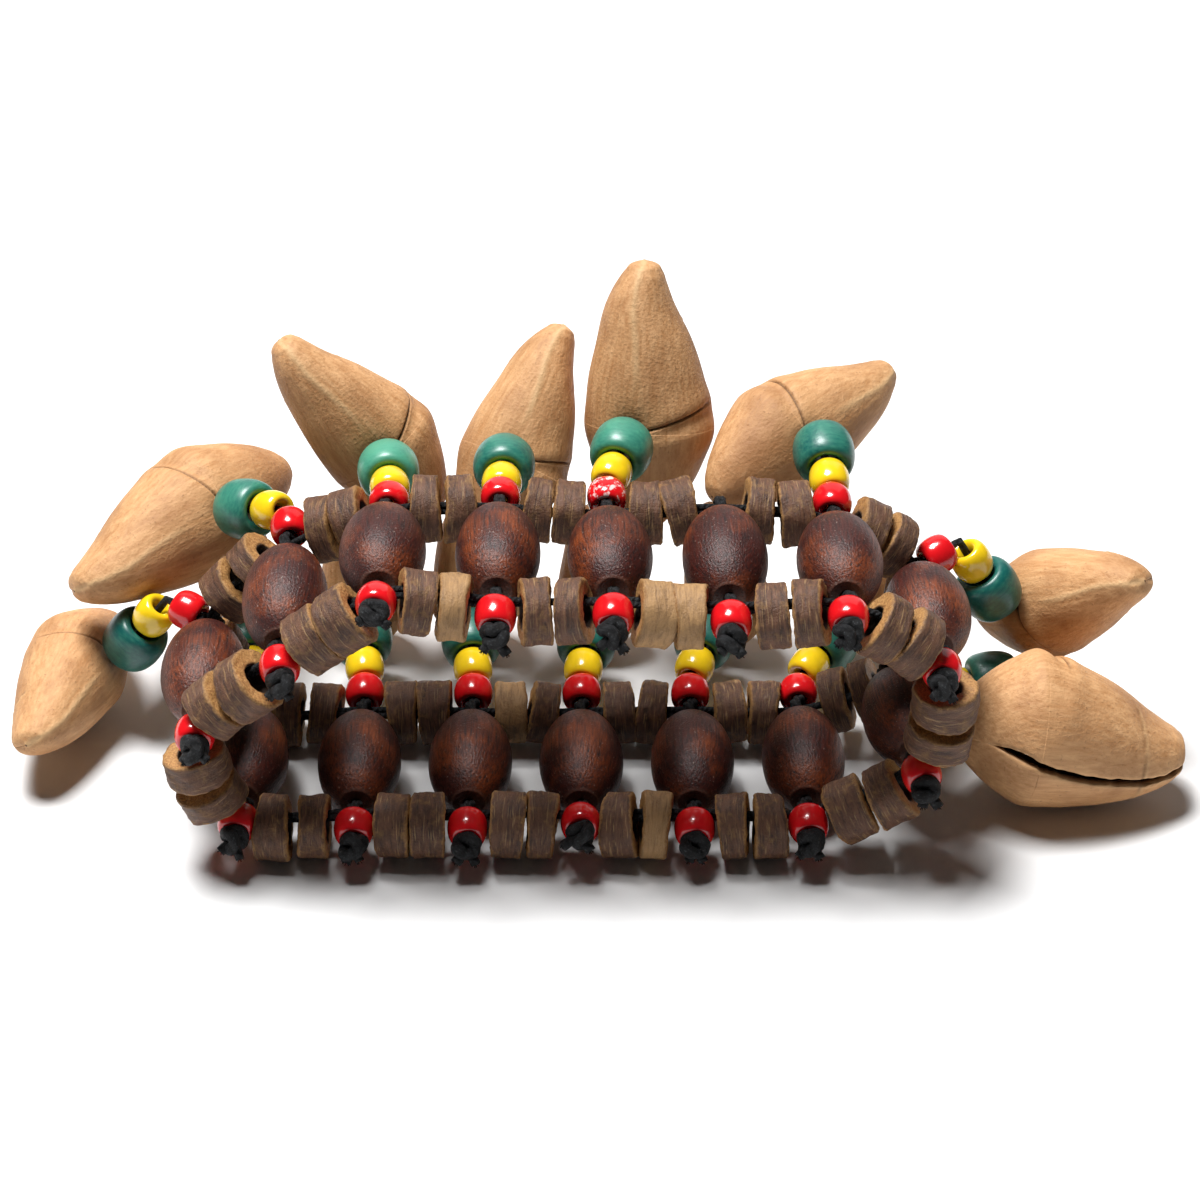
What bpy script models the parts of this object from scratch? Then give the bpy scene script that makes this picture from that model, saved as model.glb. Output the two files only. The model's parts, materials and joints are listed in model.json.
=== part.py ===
"""Nutshell shaker bracelet, lying squashed on a table with its nutshells fanned out behind it.

Metres, +Z up. The wearer's opening runs along Y, the nutshells hang from the rear (+Y) edge.
Two elastics carry coconut-shell rings. Cross strands tie the elastics together, each through an
oval wooden bead, and end in front in a red bead and a knot. Behind, each strand carries a drop of
three beads and a hollow nutshell.
"""

import math
import random
from collections import namedtuple

import bmesh
import bpy
from mathutils import Matrix, Vector

OBJECT_NAME = "nutshell_shaker_bracelet"

# Band: how far the ring is squashed, and the play of the rings on each elastic
BAND_HEIGHT = 0.0325
RING_PLAY = 0.0018

# Cords
ELASTIC_DIAMETER = 0.0015
STRAND_DIAMETER = 0.0010
CORD_CLEARANCE = 0.0003

# Coconut-shell rings
RING_DIAMETER = 0.0082
RING_BORE = 0.0038
RING_THICKNESS = 0.0039
RING_BITE = 0.0004
RING_GAP = 0.0005
RING_TILT = 4.0
RING_HANG_OUT = 1.5
FRONT_RING_SEED = 3
REAR_RING_SEED = 8

# Oval wooden beads
OVAL_LENGTH = 0.0170
OVAL_DIAMETER = 0.0112
OVAL_END_DIAMETER = 0.0043

# Small beads and knots
RED_DIAMETER = 0.0046
RED_LENGTH = 0.0040
YELLOW_DIAMETER = 0.0052
YELLOW_LENGTH = 0.0044
GREEN_DIAMETER = 0.0080
GREEN_LENGTH = 0.0062
BEAD_END_SHARE = 0.60
BEAD_BELLY_SHARE = 0.40
KNOT_DIAMETER = 0.0034
KNOT_LENGTH = 0.0032
KNOT_END_SHARE = 0.70

# Nutshells
NUT_BEAK = 0.0205
NUT_BASE = 0.0140
NUT_WIDTH = 0.0170
NUT_DEPTH = 0.0148
NUT_WALL = 0.0014
NUT_HOLLOW_BEAK = 0.0125
NUT_HOLLOW_BASE = 0.0085
NUT_HOLLOW_SHIFT = 0.10
NUT_MOUTH = 0.0012
NUT_MOUTH_ROOT_SHARE = 0.42
NUT_MOUTH_START_SHARE = -0.10
TIE_HOLE = 0.0034
STOP_KNOT_DIAMETER = 0.0042
STOP_KNOT_LENGTH = 0.0020
STOP_KNOT_SLACK = 0.0010

# Facets
CORD_SIDES = 4
RING_SIDES = 6
BEAD_SIDES = 6
OVAL_SIDES = 8
OVAL_STEPS = 4
NUT_SIDES = 8
HOLLOW_SIDES = 6
HOLLOW_STEPS = 4
ROUTE_STEPS = 3

# Outline of a nutshell: share of its base (below 0) or beak length, of its half width and half depth,
# and how far the middle of that section stands to the shoulder's side, as a share of the half width
NUT_OUTLINE = (
    (-1.00, 0.22, 0.26, 0.080),
    (-0.60, 0.62, 0.64, 0.130),
    (0.00, 1.00, 1.00, 0.145),
    (0.26, 0.89, 0.96, 0.085),
    (0.50, 0.735, 0.85, 0.030),
    (0.76, 0.48, 0.65, -0.050),
    (1.00, 0.18, 0.33, -0.020),
)

# How each nutshell was left lying and how it grew: its turn, pitch and roll in degrees, its share of
# the full size, then the shares of the usual girth, base length and mouth width, and which side its
# shoulder is on. Turns run from straight back towards +X, pitches run up, and a roll leans the beak
# from upright towards the right.
Nut = namedtuple("Nut", "turn pitch roll share girth base mouth side")

# How each strand was left lying, from the left end of the band over its top and back underneath:
# shift right and up in lay steps, the strand's turn and pitch, the droop of its front end, the turn
# and pitch of its drop in degrees, and its nutshell. A strand without a nutshell carries no drop.
LAY_STEP = 0.001
Lay = namedtuple("Lay", "right up strand_turn strand_pitch droop drop_turn drop_pitch nut")
STRANDS = (
    Lay(-4, -2, 0, 0, 10, -71, -56, Nut(-78, -33, -84, 0.94, 1.00, 1.00, 1.0, 1)),
    Lay(1, -4, 0, 4, 10, -48, -22, Nut(-40, -36, -95, 1.06, 1.00, 1.00, 1.0, 1)),
    Lay(0, 1, 0, -6, -10, -5, -10, Nut(-17, -19, -33, 0.98, 1.00, 1.00, 1.0, 1)),
    Lay(0, 0, 0, -2, 15, 2, -8, Nut(-2, -37, 25, 0.97, 1.00, 1.00, 1.0, 1)),
    Lay(0, 0, -2, -4, 10, 14, 4, Nut(12, -19, -2, 1.07, 1.00, 1.00, 1.0, 1)),
    Lay(0, -1, -2, 0, 10, 0, 0, None),
    Lay(0, 0, -2, -5, 5, -5, 8, Nut(-34, -35, 75, 0.97, 1.00, 1.00, 1.0, -1)),
    Lay(1, 1, -4, -4, 10, 80, -61, Nut(53, -14, 57, 0.90, 1.00, 1.00, 1.0, 1)),
    Lay(-1, -1, -5, -5, 10, 81, 1, Nut(178, 3, -98, 1.01, 1.28, 0.74, 2.5, 1)),
    Lay(-4, 0, 0, 0, 10, 32, 8, Nut(32, 0, 10, 0.74, 1.00, 0.62, 1.0, 1)),
    Lay(-4, 0, 0, 0, 10, 16, 10, Nut(16, -12, -10, 0.74, 1.00, 0.62, 1.0, 1)),
    Lay(-4, 0, 0, 0, -10, 5, 10, Nut(5, -15, 0, 0.74, 1.00, 0.62, 1.0, 1)),
    Lay(-4, 0, 0, 0, 10, -4, 11, Nut(-2, -15, -2, 0.75, 1.00, 0.64, 1.0, 1)),
    Lay(-4, 0, 0, 0, 10, -6, 12, Nut(-6, -18, 0, 0.75, 1.00, 0.63, 1.0, 1)),
    Lay(-5, -3, 0, 0, 10, -15, 10, Nut(-1, -21, 12, 0.58, 1.00, 0.71, 1.0, 1)),
)

# Lengths that follow from the sizes above
STRAND_COUNT = len(STRANDS)
STRAND_RADIUS = STRAND_DIAMETER / 2
ELASTIC_ROOM = ELASTIC_DIAMETER / 2 + CORD_CLEARANCE
LOOP_REACH = ELASTIC_ROOM + STRAND_DIAMETER
OVAL_BORE = STRAND_DIAMETER + 2 * CORD_CLEARANCE
STRAND_SPAN = OVAL_LENGTH + 2 * (LOOP_REACH + CORD_CLEARANCE)
PITCH = RED_DIAMETER + 2 * RING_THICKNESS + RING_PLAY
END_RADIUS = BAND_HEIGHT / 2
FLAT_RUN = STRAND_COUNT * PITCH / 2 - math.pi * END_RADIUS
RING_HANG = (RING_BORE - ELASTIC_DIAMETER) / 2 + RING_BITE
LOOP_SEAT = ELASTIC_ROOM + STRAND_DIAMETER * 0.4
LOOP_CROWN = STRAND_RADIUS * 0.3
KINK_STEP = STRAND_RADIUS * 0.5
KINK_RADIUS = STRAND_RADIUS * 1.2
CUT_SPARE = NUT_WALL

COLOURS = {
    "elastic_black": ("0B0B0C", 0.75),
    "coconut_shell": ("5A4030", 0.70),
    "stained_wood": ("4A1C10", 0.30),
    "waxed_cord": ("141415", 0.80),
    "painted_beads": ("0E6E5C", 0.35),
    "nut_husk": ("A97C50", 0.80),
}


def linear(channel):
    """One sRGB channel, 0 to 1, as linear light."""
    return channel / 12.92 if channel <= 0.04045 else ((channel + 0.055) / 1.055) ** 2.4


def material(name):
    """The Principled material of one finish."""
    made = bpy.data.materials.get(name)
    if made:
        return made
    code, roughness = COLOURS[name]
    made = bpy.data.materials.new(name)
    made.use_nodes = True
    shader = made.node_tree.nodes["Principled BSDF"]
    channels = [linear(int(code[i : i + 2], 16) / 255) for i in (0, 2, 4)]
    shader.inputs["Base Color"].default_value = (*channels, 1.0)
    shader.inputs["Roughness"].default_value = roughness
    shader.inputs["Metallic"].default_value = 0.0
    return made


def heading(turn, pitch):
    """Unit vector a turn from straight back towards +X, and a pitch above level, in degrees."""
    turn, pitch = math.radians(turn), math.radians(pitch)
    return Vector((math.sin(turn) * math.cos(pitch), math.cos(turn) * math.cos(pitch), math.sin(pitch)))


def square_to(vector, axis):
    """Unit vector: the part of a vector that lies square to an axis."""
    return (vector - axis * vector.dot(axis)).normalized()


def frame_at(origin, z_axis, y_hint):
    """Matrix at an origin whose Z runs along one vector and whose Y leans to another."""
    z_axis = z_axis.normalized()
    y_axis = square_to(y_hint, z_axis)
    x_axis = y_axis.cross(z_axis)
    return Matrix.Translation(origin) @ Matrix((x_axis, y_axis, z_axis)).transposed().to_4x4()


def lay_point(distance):
    """Point of the squashed ring a distance along it from its left end, over the top."""
    quarter = math.pi * END_RADIUS / 2
    length = 2 * FLAT_RUN + 4 * quarter
    distance %= length
    side = 1.0
    if distance >= length / 2:
        distance -= length / 2
        side = -1.0
    if distance < quarter:
        angle = distance / END_RADIUS
        x, z = -FLAT_RUN / 2 - END_RADIUS * math.cos(angle), END_RADIUS * math.sin(angle)
    elif distance < quarter + FLAT_RUN:
        x, z = distance - quarter - FLAT_RUN / 2, END_RADIUS
    else:
        angle = (distance - quarter - FLAT_RUN) / END_RADIUS
        x, z = FLAT_RUN / 2 + END_RADIUS * math.sin(angle), END_RADIUS * math.cos(angle)
    return Vector((side * x, 0.0, side * z))


def route_point(points, place):
    """Point and heading of the closed smooth curve through some points, at a fractional place."""
    index = math.floor(place)
    part = place - index
    before, start, end, after = (points[(index + step) % len(points)] for step in (-1, 0, 1, 2))
    leave, arrive = (end - before) / 2, (after - start) / 2
    squared, cubed = part * part, part**3
    point = start * (2 * cubed - 3 * squared + 1) + leave * (cubed - 2 * squared + part)
    point += end * (3 * squared - 2 * cubed) + arrive * (cubed - squared)
    slope = (end - start) * (6 * part - 6 * squared)
    slope += leave * (3 * squared - 4 * part + 1) + arrive * (3 * squared - 2 * part)
    return point, slope.normalized()


def add_object(name, mesh, collection, matrix, finish):
    """Object of a mesh with its finish."""
    made = bpy.data.objects.new(name, mesh)
    collection.objects.link(made)
    made.matrix_world = matrix
    mesh.materials.append(material(finish))
    return made


def turned(name, profile, sides, collection, matrix, finish):
    """Solid turned about Z from (radius, height) points, top to bottom. A profile that doesn't end
    on the axis is closed into a ring."""
    mesh = bpy.data.meshes.new(name)
    edges = [(i, i + 1) for i in range(len(profile) - 1)]
    if profile[-1][0] > 0:
        edges.append((len(profile) - 1, 0))
    mesh.from_pydata([(radius, 0.0, height) for radius, height in profile], edges, [])
    made = add_object(name, mesh, collection, matrix, finish)
    screw = made.modifiers.new("Turn", "SCREW")
    screw.steps = screw.render_steps = sides
    screw.use_merge_vertices = True
    screw.merge_threshold = 0.00001
    screw.use_smooth_shade = True
    return made


def bool_with(target, operation, tools):
    """Boolean of a target with each tool, which becomes a hidden wire object that moves with it."""
    for tool in tools:
        attach(tool, target)
        tool.hide_render = True
        tool.display_type = "WIRE"
        step = target.modifiers.new(operation.title(), "BOOLEAN")
        step.operation = operation
        step.object = tool


def make_loop(name, point, along, collection, finish):
    """Loop of cord round an elastic that runs along a heading, its crown a little to one side."""
    section = [
        (ELASTIC_ROOM, STRAND_RADIUS),
        (LOOP_REACH, LOOP_CROWN),
        (ELASTIC_ROOM, -STRAND_RADIUS),
    ]
    place = frame_at(point, along, Vector((0.0, 1.0, 0.0)))
    return turned(name, section, CORD_SIDES + 1, collection, place, finish)


def bead_outline(start, length, diameter):
    """Outline of a round bead on a cord, from its far end to its near end."""
    belly = diameter / 2
    end = belly * BEAD_END_SHARE
    slope = length * (1 - BEAD_BELLY_SHARE) / 2
    return [
        (end, start + length),
        (belly, start + length - slope),
        (belly, start + slope),
        (end, start),
    ]


def make_elastic(name, crossings, hang_out, seed, parts, tools):
    """One elastic, closed through its crossings, with two coconut-shell rings hung in each span."""
    curve = bpy.data.curves.new(name, "CURVE")
    curve.dimensions = "3D"
    curve.bevel_depth = ELASTIC_DIAMETER / 2
    curve.bevel_resolution = 0
    spline = curve.splines.new("POLY")
    count = STRAND_COUNT * ROUTE_STEPS
    spline.points.add(count - 1)
    spline.use_cyclic_u = True
    for step, point in enumerate(spline.points):
        point.co = (*route_point(crossings, step / ROUTE_STEPS)[0], 1.0)
    guide = bpy.data.objects.new(name + "_guide", curve)
    tools.objects.link(guide)
    bpy.context.view_layer.update()
    mesh = bpy.data.meshes.new_from_object(guide.evaluated_get(bpy.context.evaluated_depsgraph_get()))
    bpy.data.objects.remove(guide)
    elastic = add_object(name, mesh, parts, Matrix.Identity(4), "elastic_black")
    chance = random.Random(seed)
    rings = []
    outer, inner, half = RING_DIAMETER / 2, RING_BORE / 2, RING_THICKNESS / 2
    section = [(outer, half), (outer, -half), (inner, -half), (inner, half)]
    for station in range(STRAND_COUNT):
        span = (crossings[(station + 1) % STRAND_COUNT] - crossings[station]).length
        step = (RING_THICKNESS + RING_GAP) / 2 / span
        lean = chance.uniform(-RING_TILT, RING_TILT)
        for side in (-1, 1):
            point, along = route_point(crossings, station + 0.5 + side * step)
            hang = square_to(Vector((0.0, hang_out, -1.0)), along)
            tilt = Matrix.Rotation(math.radians(lean), 4, hang.cross(along))
            place = frame_at(point + hang * RING_HANG, tilt @ along, hang)
            label = f"{name}_ring_{station + 1:02d}_{(side + 3) // 2}"
            rings.append(turned(label, section, RING_SIDES, tools, place, "coconut_shell"))
    bool_with(elastic, "UNION", rings)
    return elastic


def make_cord(name, start, end, collection, finish):
    """Short straight stretch of strand cord between two points."""
    reach = (end - start).length
    profile = [(0.0, reach), (STRAND_RADIUS, reach), (STRAND_RADIUS, 0.0), (0.0, 0.0)]
    place = frame_at(start, end - start, Vector((1.0, 0.0, 0.0)))
    return turned(name, profile, CORD_SIDES, collection, place, finish)


def make_strand(number, lay, front, rear, parts, tools):
    """Cross strand: a loop round the front elastic, the cord through the oval bead, and the red bead
    and knot in front. Where no drop follows it, it closes round the rear elastic too."""
    name = f"cross_strand_{number:02d}"
    (front_point, front_along), (rear_point, rear_along) = front, rear
    along = (rear_point - front_point).normalized()
    rear_gap = LOOP_REACH + CORD_CLEARANCE if lay.nut else LOOP_SEAT
    start, end = front_point + along * LOOP_SEAT, rear_point - along * rear_gap
    strand = make_cord(name, start, end, parts, "waxed_cord")
    end_way = square_to(heading(180.0 + lay.strand_turn, -lay.droop), front_along)
    bead = LOOP_SEAT
    knot = bead + RED_LENGTH
    profile = [
        (0.0, knot + KNOT_LENGTH),
        (KNOT_DIAMETER / 2 * KNOT_END_SHARE, knot + KNOT_LENGTH),
        (KNOT_DIAMETER / 2, knot + KNOT_LENGTH / 2),
        (STRAND_RADIUS, knot),
        *bead_outline(bead, RED_LENGTH, RED_DIAMETER),
        (0.0, bead),
    ]
    end_place = frame_at(front_point, end_way, front_along)
    pieces = [
        make_loop(name + "_front_loop", front_point, front_along, tools, "waxed_cord"),
        turned(name + "_end", profile, BEAD_SIDES, tools, end_place, "waxed_cord"),
    ]
    if not lay.nut:
        pieces.append(make_loop(name + "_rear_loop", rear_point, rear_along, tools, "waxed_cord"))
    bool_with(strand, "UNION", pieces)
    return strand


def make_oval(number, front_point, rear_point, parts):
    """Oval wooden bead with its bore, halfway along its strand."""
    half = OVAL_LENGTH / 2
    end, belly, bore = OVAL_END_DIAMETER / 2, OVAL_DIAMETER / 2, OVAL_BORE / 2
    profile = []
    for step in range(OVAL_STEPS + 1):
        angle = math.pi * (step / OVAL_STEPS - 0.5)
        profile.append((end + (belly - end) * math.cos(angle), -half * math.sin(angle)))
    profile += [(bore, -half), (bore, half)]
    middle = (front_point + rear_point) / 2
    place = frame_at(middle, rear_point - front_point, Vector((0, 0, 1)))
    return turned(f"oval_bead_{number:02d}", profile, OVAL_SIDES, parts, place, "stained_wood")


def drop_places(pivot, lay, rear_along):
    """Headings of a drop and its nutshell, and the points where its red bead starts, its cord turns
    off, its green bead ends and its nutshell is tied. A sharper turn takes more bare cord."""
    way, into = heading(lay.drop_turn, lay.drop_pitch), heading(lay.nut.turn, lay.nut.pitch)
    out = square_to(way, rear_along)
    start = pivot + out * LOOP_SEAT
    bend = out.cross(way).length * max(RED_DIAMETER, YELLOW_DIAMETER) / 2 * BEAD_END_SHARE
    turn = start + out * (RED_LENGTH + bend)
    last = turn + way * (bend + YELLOW_LENGTH + GREEN_LENGTH)
    belly = GREEN_DIAMETER / 2
    fold, level = way.cross(into).length, way.dot(into)
    room = max(0.0, belly * BEAD_END_SHARE * fold, belly * fold - GREEN_LENGTH / 2 * level)
    tie = last + into * (room + CORD_CLEARANCE)
    return way, into, out, start, turn, last, tie


def make_drop(number, pivot, places, rear_along, parts, tools):
    """Drop: a loop round the rear elastic, then the red, yellow and green beads on their cord, whose
    stop knot lies inside the nutshell."""
    name = f"bead_drop_{number:02d}"
    way, into, out, start, turn, last, tie = places
    finish = "painted_beads"
    green = -GREEN_LENGTH
    yellow = green - YELLOW_LENGTH
    bottom = -(last - turn).length - KINK_STEP
    profile = [
        (0.0, 0.0),
        *bead_outline(green, GREEN_LENGTH, GREEN_DIAMETER),
        *bead_outline(yellow, YELLOW_LENGTH, YELLOW_DIAMETER)[1:],
        (STRAND_RADIUS, yellow),
        (STRAND_RADIUS, bottom),
        (0.0, bottom),
    ]
    drop = turned(name, profile, BEAD_SIDES, parts, frame_at(last, way, rear_along), finish)
    top = (turn - start).length + KINK_STEP
    red = [
        (0.0, top),
        (KINK_RADIUS, top),
        (KINK_RADIUS, RED_LENGTH),
        *bead_outline(0.0, RED_LENGTH, RED_DIAMETER),
        (0.0, 0.0),
    ]
    stop = NUT_WALL + CORD_CLEARANCE + STOP_KNOT_SLACK
    bare = (tie - last).length + KINK_STEP
    tail = [
        (0.0, stop + STOP_KNOT_LENGTH),
        (STOP_KNOT_DIAMETER / 2, stop + STOP_KNOT_LENGTH / 2),
        (STRAND_RADIUS, stop),
        (STRAND_RADIUS, -bare),
        (0.0, -bare),
    ]
    pieces = [
        turned(name + "_red", red, BEAD_SIDES, tools, frame_at(start, out, rear_along), finish),
        make_loop(name + "_loop", pivot, rear_along, tools, finish),
        turned(name + "_tail", tail, CORD_SIDES, tools, frame_at(tie, into, rear_along), finish),
    ]
    bool_with(drop, "UNION", pieces)
    return drop


def make_nut(number, nut, place, parts, tools):
    """Hollow nutshell. Z runs along the beak, Y from the tie hole at the origin into the shell."""
    name = f"nutshell_{number:02d}"
    half_width = NUT_WIDTH * nut.share * nut.girth / 2
    half_depth = NUT_DEPTH * nut.share * nut.girth / 2
    beak, base = nut.share, nut.share * nut.base
    shell = bmesh.new()
    rows = []
    for along, wide, deep, shift in NUT_OUTLINE:
        height = along * (NUT_BASE * base if along < 0 else NUT_BEAK * beak)
        row = []
        for corner in range(NUT_SIDES):
            angle = 2 * math.pi * corner / NUT_SIDES
            x = (math.cos(angle) * wide + shift * nut.side) * half_width
            y = (math.sin(angle) * deep + 1) * half_depth
            row.append(shell.verts.new((x, y, height)))
        rows.append(row)
    for lower, upper in zip(rows, rows[1:]):
        for corner in range(NUT_SIDES):
            after = (corner + 1) % NUT_SIDES
            shell.faces.new((lower[corner], lower[after], upper[after], upper[corner]))
    shell.faces.new(rows[0][::-1])
    shell.faces.new(rows[-1])
    mesh = bpy.data.meshes.new(name)
    shell.to_mesh(mesh)
    shell.free()
    husk = add_object(name, mesh, parts, place, "nut_husk")
    mesh.shade_smooth()
    inside = bmesh.new()
    bmesh.ops.create_uvsphere(inside, u_segments=HOLLOW_SIDES, v_segments=HOLLOW_STEPS, radius=1.0)
    for vertex in inside.verts:
        tall = NUT_HOLLOW_BEAK * beak if vertex.co.z > 0 else NUT_HOLLOW_BASE * base
        middle = NUT_HOLLOW_SHIFT * nut.side * half_width
        vertex.co.x = vertex.co.x * (half_width - NUT_WALL) + middle
        vertex.co.y = vertex.co.y * (half_depth - NUT_WALL) + half_depth
        vertex.co.z *= tall
    mouth = bmesh.new()
    bmesh.ops.create_cube(mouth, size=1.0)
    root, front = 2 * half_depth * NUT_MOUTH_ROOT_SHARE, 2 * half_depth + CUT_SPARE
    low, high = NUT_BEAK * beak * NUT_MOUTH_START_SHARE, NUT_BEAK * beak + CUT_SPARE
    bmesh.ops.scale(mouth, vec=(NUT_MOUTH * nut.mouth, front - root, high - low), verts=mouth.verts)
    bmesh.ops.translate(mouth, vec=(0.0, (front + root) / 2, (high + low) / 2), verts=mouth.verts)
    hole = bmesh.new()
    reach = 2 * (NUT_WALL + CUT_SPARE)
    bmesh.ops.create_cone(
        hole, cap_ends=True, segments=CORD_SIDES, radius1=TIE_HOLE / 2, radius2=TIE_HOLE / 2, depth=reach
    )
    bmesh.ops.rotate(hole, cent=(0, 0, 0), matrix=Matrix.Rotation(math.pi / 2, 3, "X"), verts=hole.verts)
    tools_made = []
    for label, cutter in (("hollow", inside), ("mouth", mouth), ("hole", hole)):
        cut_mesh = bpy.data.meshes.new(f"{name}_{label}")
        cutter.to_mesh(cut_mesh)
        cutter.free()
        tools_made.append(add_object(cut_mesh.name, cut_mesh, tools, place, "nut_husk"))
    bool_with(husk, "DIFFERENCE", tools_made)
    return husk


def add_pivot(name, point, axis, hint, parent):
    """Empty on a joint's axis, with its X along the axis."""
    pivot = bpy.data.objects.new(name, None)
    parent.users_collection[0].objects.link(pivot)
    pivot.empty_display_size = RED_LENGTH
    along = square_to(hint, axis)
    columns = (axis, along, axis.cross(along))
    pivot.matrix_world = Matrix.Translation(point) @ Matrix(columns).transposed().to_4x4()
    attach(pivot, parent)
    return pivot


def attach(child, parent):
    """Parent an object and keep its place."""
    bpy.context.view_layer.update()
    child.parent = parent
    child.matrix_parent_inverse = parent.matrix_world.inverted()


def stand_on_origin(root, parts):
    """Move the whole bracelet so that the middle of its box's underside is the origin."""
    bpy.context.view_layer.update()
    graph = bpy.context.evaluated_depsgraph_get()
    corners = []
    for part in parts.objects:
        if part.type != "MESH":
            continue
        solid = part.evaluated_get(graph)
        corners += [solid.matrix_world @ vertex.co for vertex in solid.data.vertices]
    low = [min(corner[axis] for corner in corners) for axis in range(3)]
    high = [max(corner[axis] for corner in corners) for axis in range(3)]
    root.location = (-(low[0] + high[0]) / 2, -(low[1] + high[1]) / 2, -low[2])


def main():
    for old in list(bpy.data.objects):
        bpy.data.objects.remove(old)
    parts = bpy.data.collections.new(OBJECT_NAME)
    tools = bpy.data.collections.new(OBJECT_NAME + "_tools")
    bpy.context.scene.collection.children.link(parts)
    bpy.context.scene.collection.children.link(tools)
    root = bpy.data.objects.new("band", None)
    parts.objects.link(root)

    front, rear = [], []
    for station, lay in enumerate(STRANDS):
        point = lay_point(station * PITCH) + Vector((lay.right, 0.0, lay.up)) * LAY_STEP
        front.append(point)
        rear.append(point + heading(lay.strand_turn, lay.strand_pitch) * STRAND_SPAN)
    attach(make_elastic("front_elastic", front, -RING_HANG_OUT, FRONT_RING_SEED, parts, tools), root)
    attach(make_elastic("rear_elastic", rear, RING_HANG_OUT, REAR_RING_SEED, parts, tools), root)

    for station, lay in enumerate(STRANDS):
        number = station + 1
        front_place = route_point(front, station)
        rear_place = route_point(rear, station)
        attach(make_strand(number, lay, front_place, rear_place, parts, tools), root)
        attach(make_oval(number, front[station], rear[station], parts), root)
        if not lay.nut:
            continue
        rear_along = rear_place[1]
        places = drop_places(rear[station], lay, rear_along)
        way, into, tie = places[0], places[1], places[-1]
        swing = add_pivot(f"drop_swing_{number:02d}", rear[station], rear_along, way, root)
        attach(make_drop(number, rear[station], places, rear_along, parts, tools), swing)
        upright = square_to(Vector((0.0, 0.0, 1.0)), into)
        roll = math.radians(lay.nut.roll)
        beak = upright * math.cos(roll) + into.cross(upright) * math.sin(roll)
        rock = add_pivot(f"nut_rock_{number:02d}", tie, beak.cross(into), into, swing)
        attach(make_nut(number, lay.nut, frame_at(tie, beak, into), parts, tools), rock)
    stand_on_origin(root, parts)


main()
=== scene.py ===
"""Looks of the nutshell shaker bracelet, laid out as an add-on and run as a script.

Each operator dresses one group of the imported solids: elastics, coconut rings, strand ties, oval beads,
bead drops and nutshells. One more sets the stage. Lengths are in metres, and the "place" attribute of each
mesh holds its piece's own coordinates in millimetres, which the materials read.
"""

import json
import math
import random
from collections import namedtuple
from functools import partial

import bpy
import numpy as np
from bpy.props import FloatProperty, FloatVectorProperty, PointerProperty
from mathutils import Matrix, Vector, noise


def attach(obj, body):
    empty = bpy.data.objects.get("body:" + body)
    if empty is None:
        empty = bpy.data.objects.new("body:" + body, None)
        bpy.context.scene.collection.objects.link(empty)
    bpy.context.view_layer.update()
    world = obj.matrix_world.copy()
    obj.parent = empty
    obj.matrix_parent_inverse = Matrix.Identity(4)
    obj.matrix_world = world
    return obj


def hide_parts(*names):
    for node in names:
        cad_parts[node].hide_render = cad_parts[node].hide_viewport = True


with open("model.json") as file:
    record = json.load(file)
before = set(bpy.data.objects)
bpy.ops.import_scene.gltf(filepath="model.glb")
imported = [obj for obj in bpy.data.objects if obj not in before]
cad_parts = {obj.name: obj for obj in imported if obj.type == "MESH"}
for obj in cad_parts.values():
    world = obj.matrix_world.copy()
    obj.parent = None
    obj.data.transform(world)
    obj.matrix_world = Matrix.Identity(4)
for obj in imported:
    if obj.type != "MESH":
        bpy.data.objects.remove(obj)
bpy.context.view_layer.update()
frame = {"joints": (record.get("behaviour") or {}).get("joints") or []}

bl_info = {
    "name": "Nutshell shaker bracelet",
    "version": (1, 0, 0),
    "blender": (4, 5, 0),
    "location": "View3D > Sidebar > Bracelet",
    "description": "Dresses the solids of a beaded shaker bracelet with nutshell rattles",
    "category": "Object",
}

MM = 0.001
UP = Vector((0.0, 0.0, 1.0))
BACK = Vector((0.0, 1.0, 0.0))
FRONT_RING_SEED = 3
REAR_RING_SEED = 8
TIE_SEED = 21
DROP_SEED = 77
OVAL_SEED = 300

# Where a node tree sets a shape: its place, tone and stretch, and the kind of a small bead.
Spot = namedtuple("Spot", "place tone stretch kind", defaults=((1.0, 1.0, 1.0), 0))

# Kinds of small bead, the finish of each and the sizes it has. A fullness of 1 makes an oval section and
# less a squarer one. The glaze is chipped on the red bead of one drop, by a tone above 1.
RED, YELLOW, GREEN = range(3)
BEAD_FINISHES = {"Red": "red_glass_bead", "Yellow": "yellow_glass_bead", "Green": "green_dyed_wood"}
BEAD_SIZES = ("Diameter", "Length", "Bore")
BEAD_FULLNESS = 0.92
BEAD_UNEVEN = 0.00016
CHIPPED_DROP = 5
CHIPPED_TONE = 1.3

# How far a tone of 1 moves a pattern on, in millimetres, and the noise that leaves a surface where it is.
SURFACE_STRIDE = (90.0, 70.0, 50.0)
OVAL_STRIDE = (80.0, 60.0, 40.0)
STILL_NOISE = 0.55

# Share of its radius by which an oval bead is uneven.
OVAL_DENT = 0.014

# Rings that stand out: by edge, the strand before the span, and the first (-1) or second (1) of the pair.
# The broken one's spin is in radians.
PALE_RINGS = {("front", 3, 1), ("front", 5, -1), ("front", 5, 1), ("rear", 12, 1), ("front", 11, -1)}
BROKEN_RING = ("front", 8, 1)
BROKEN_SPIN = 5.42

# A ring's rounded edge, the share it thickens by for each metre to one side, and the share of their pitch
# that a pair moves apart for each degree of splay.
RING_EDGE = 0.00024
RING_WEDGE = 38.0
RING_PARTING = 0.006

# A way that no cord starts along, and the noise scale of a cord's lumps, by millimetres of path and of skin.
UNUSED_WAY = (0.31, 0.17, 0.93)
LUMPS_ALONG = 1.1
LUMPS_AROUND = 0.6

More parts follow.
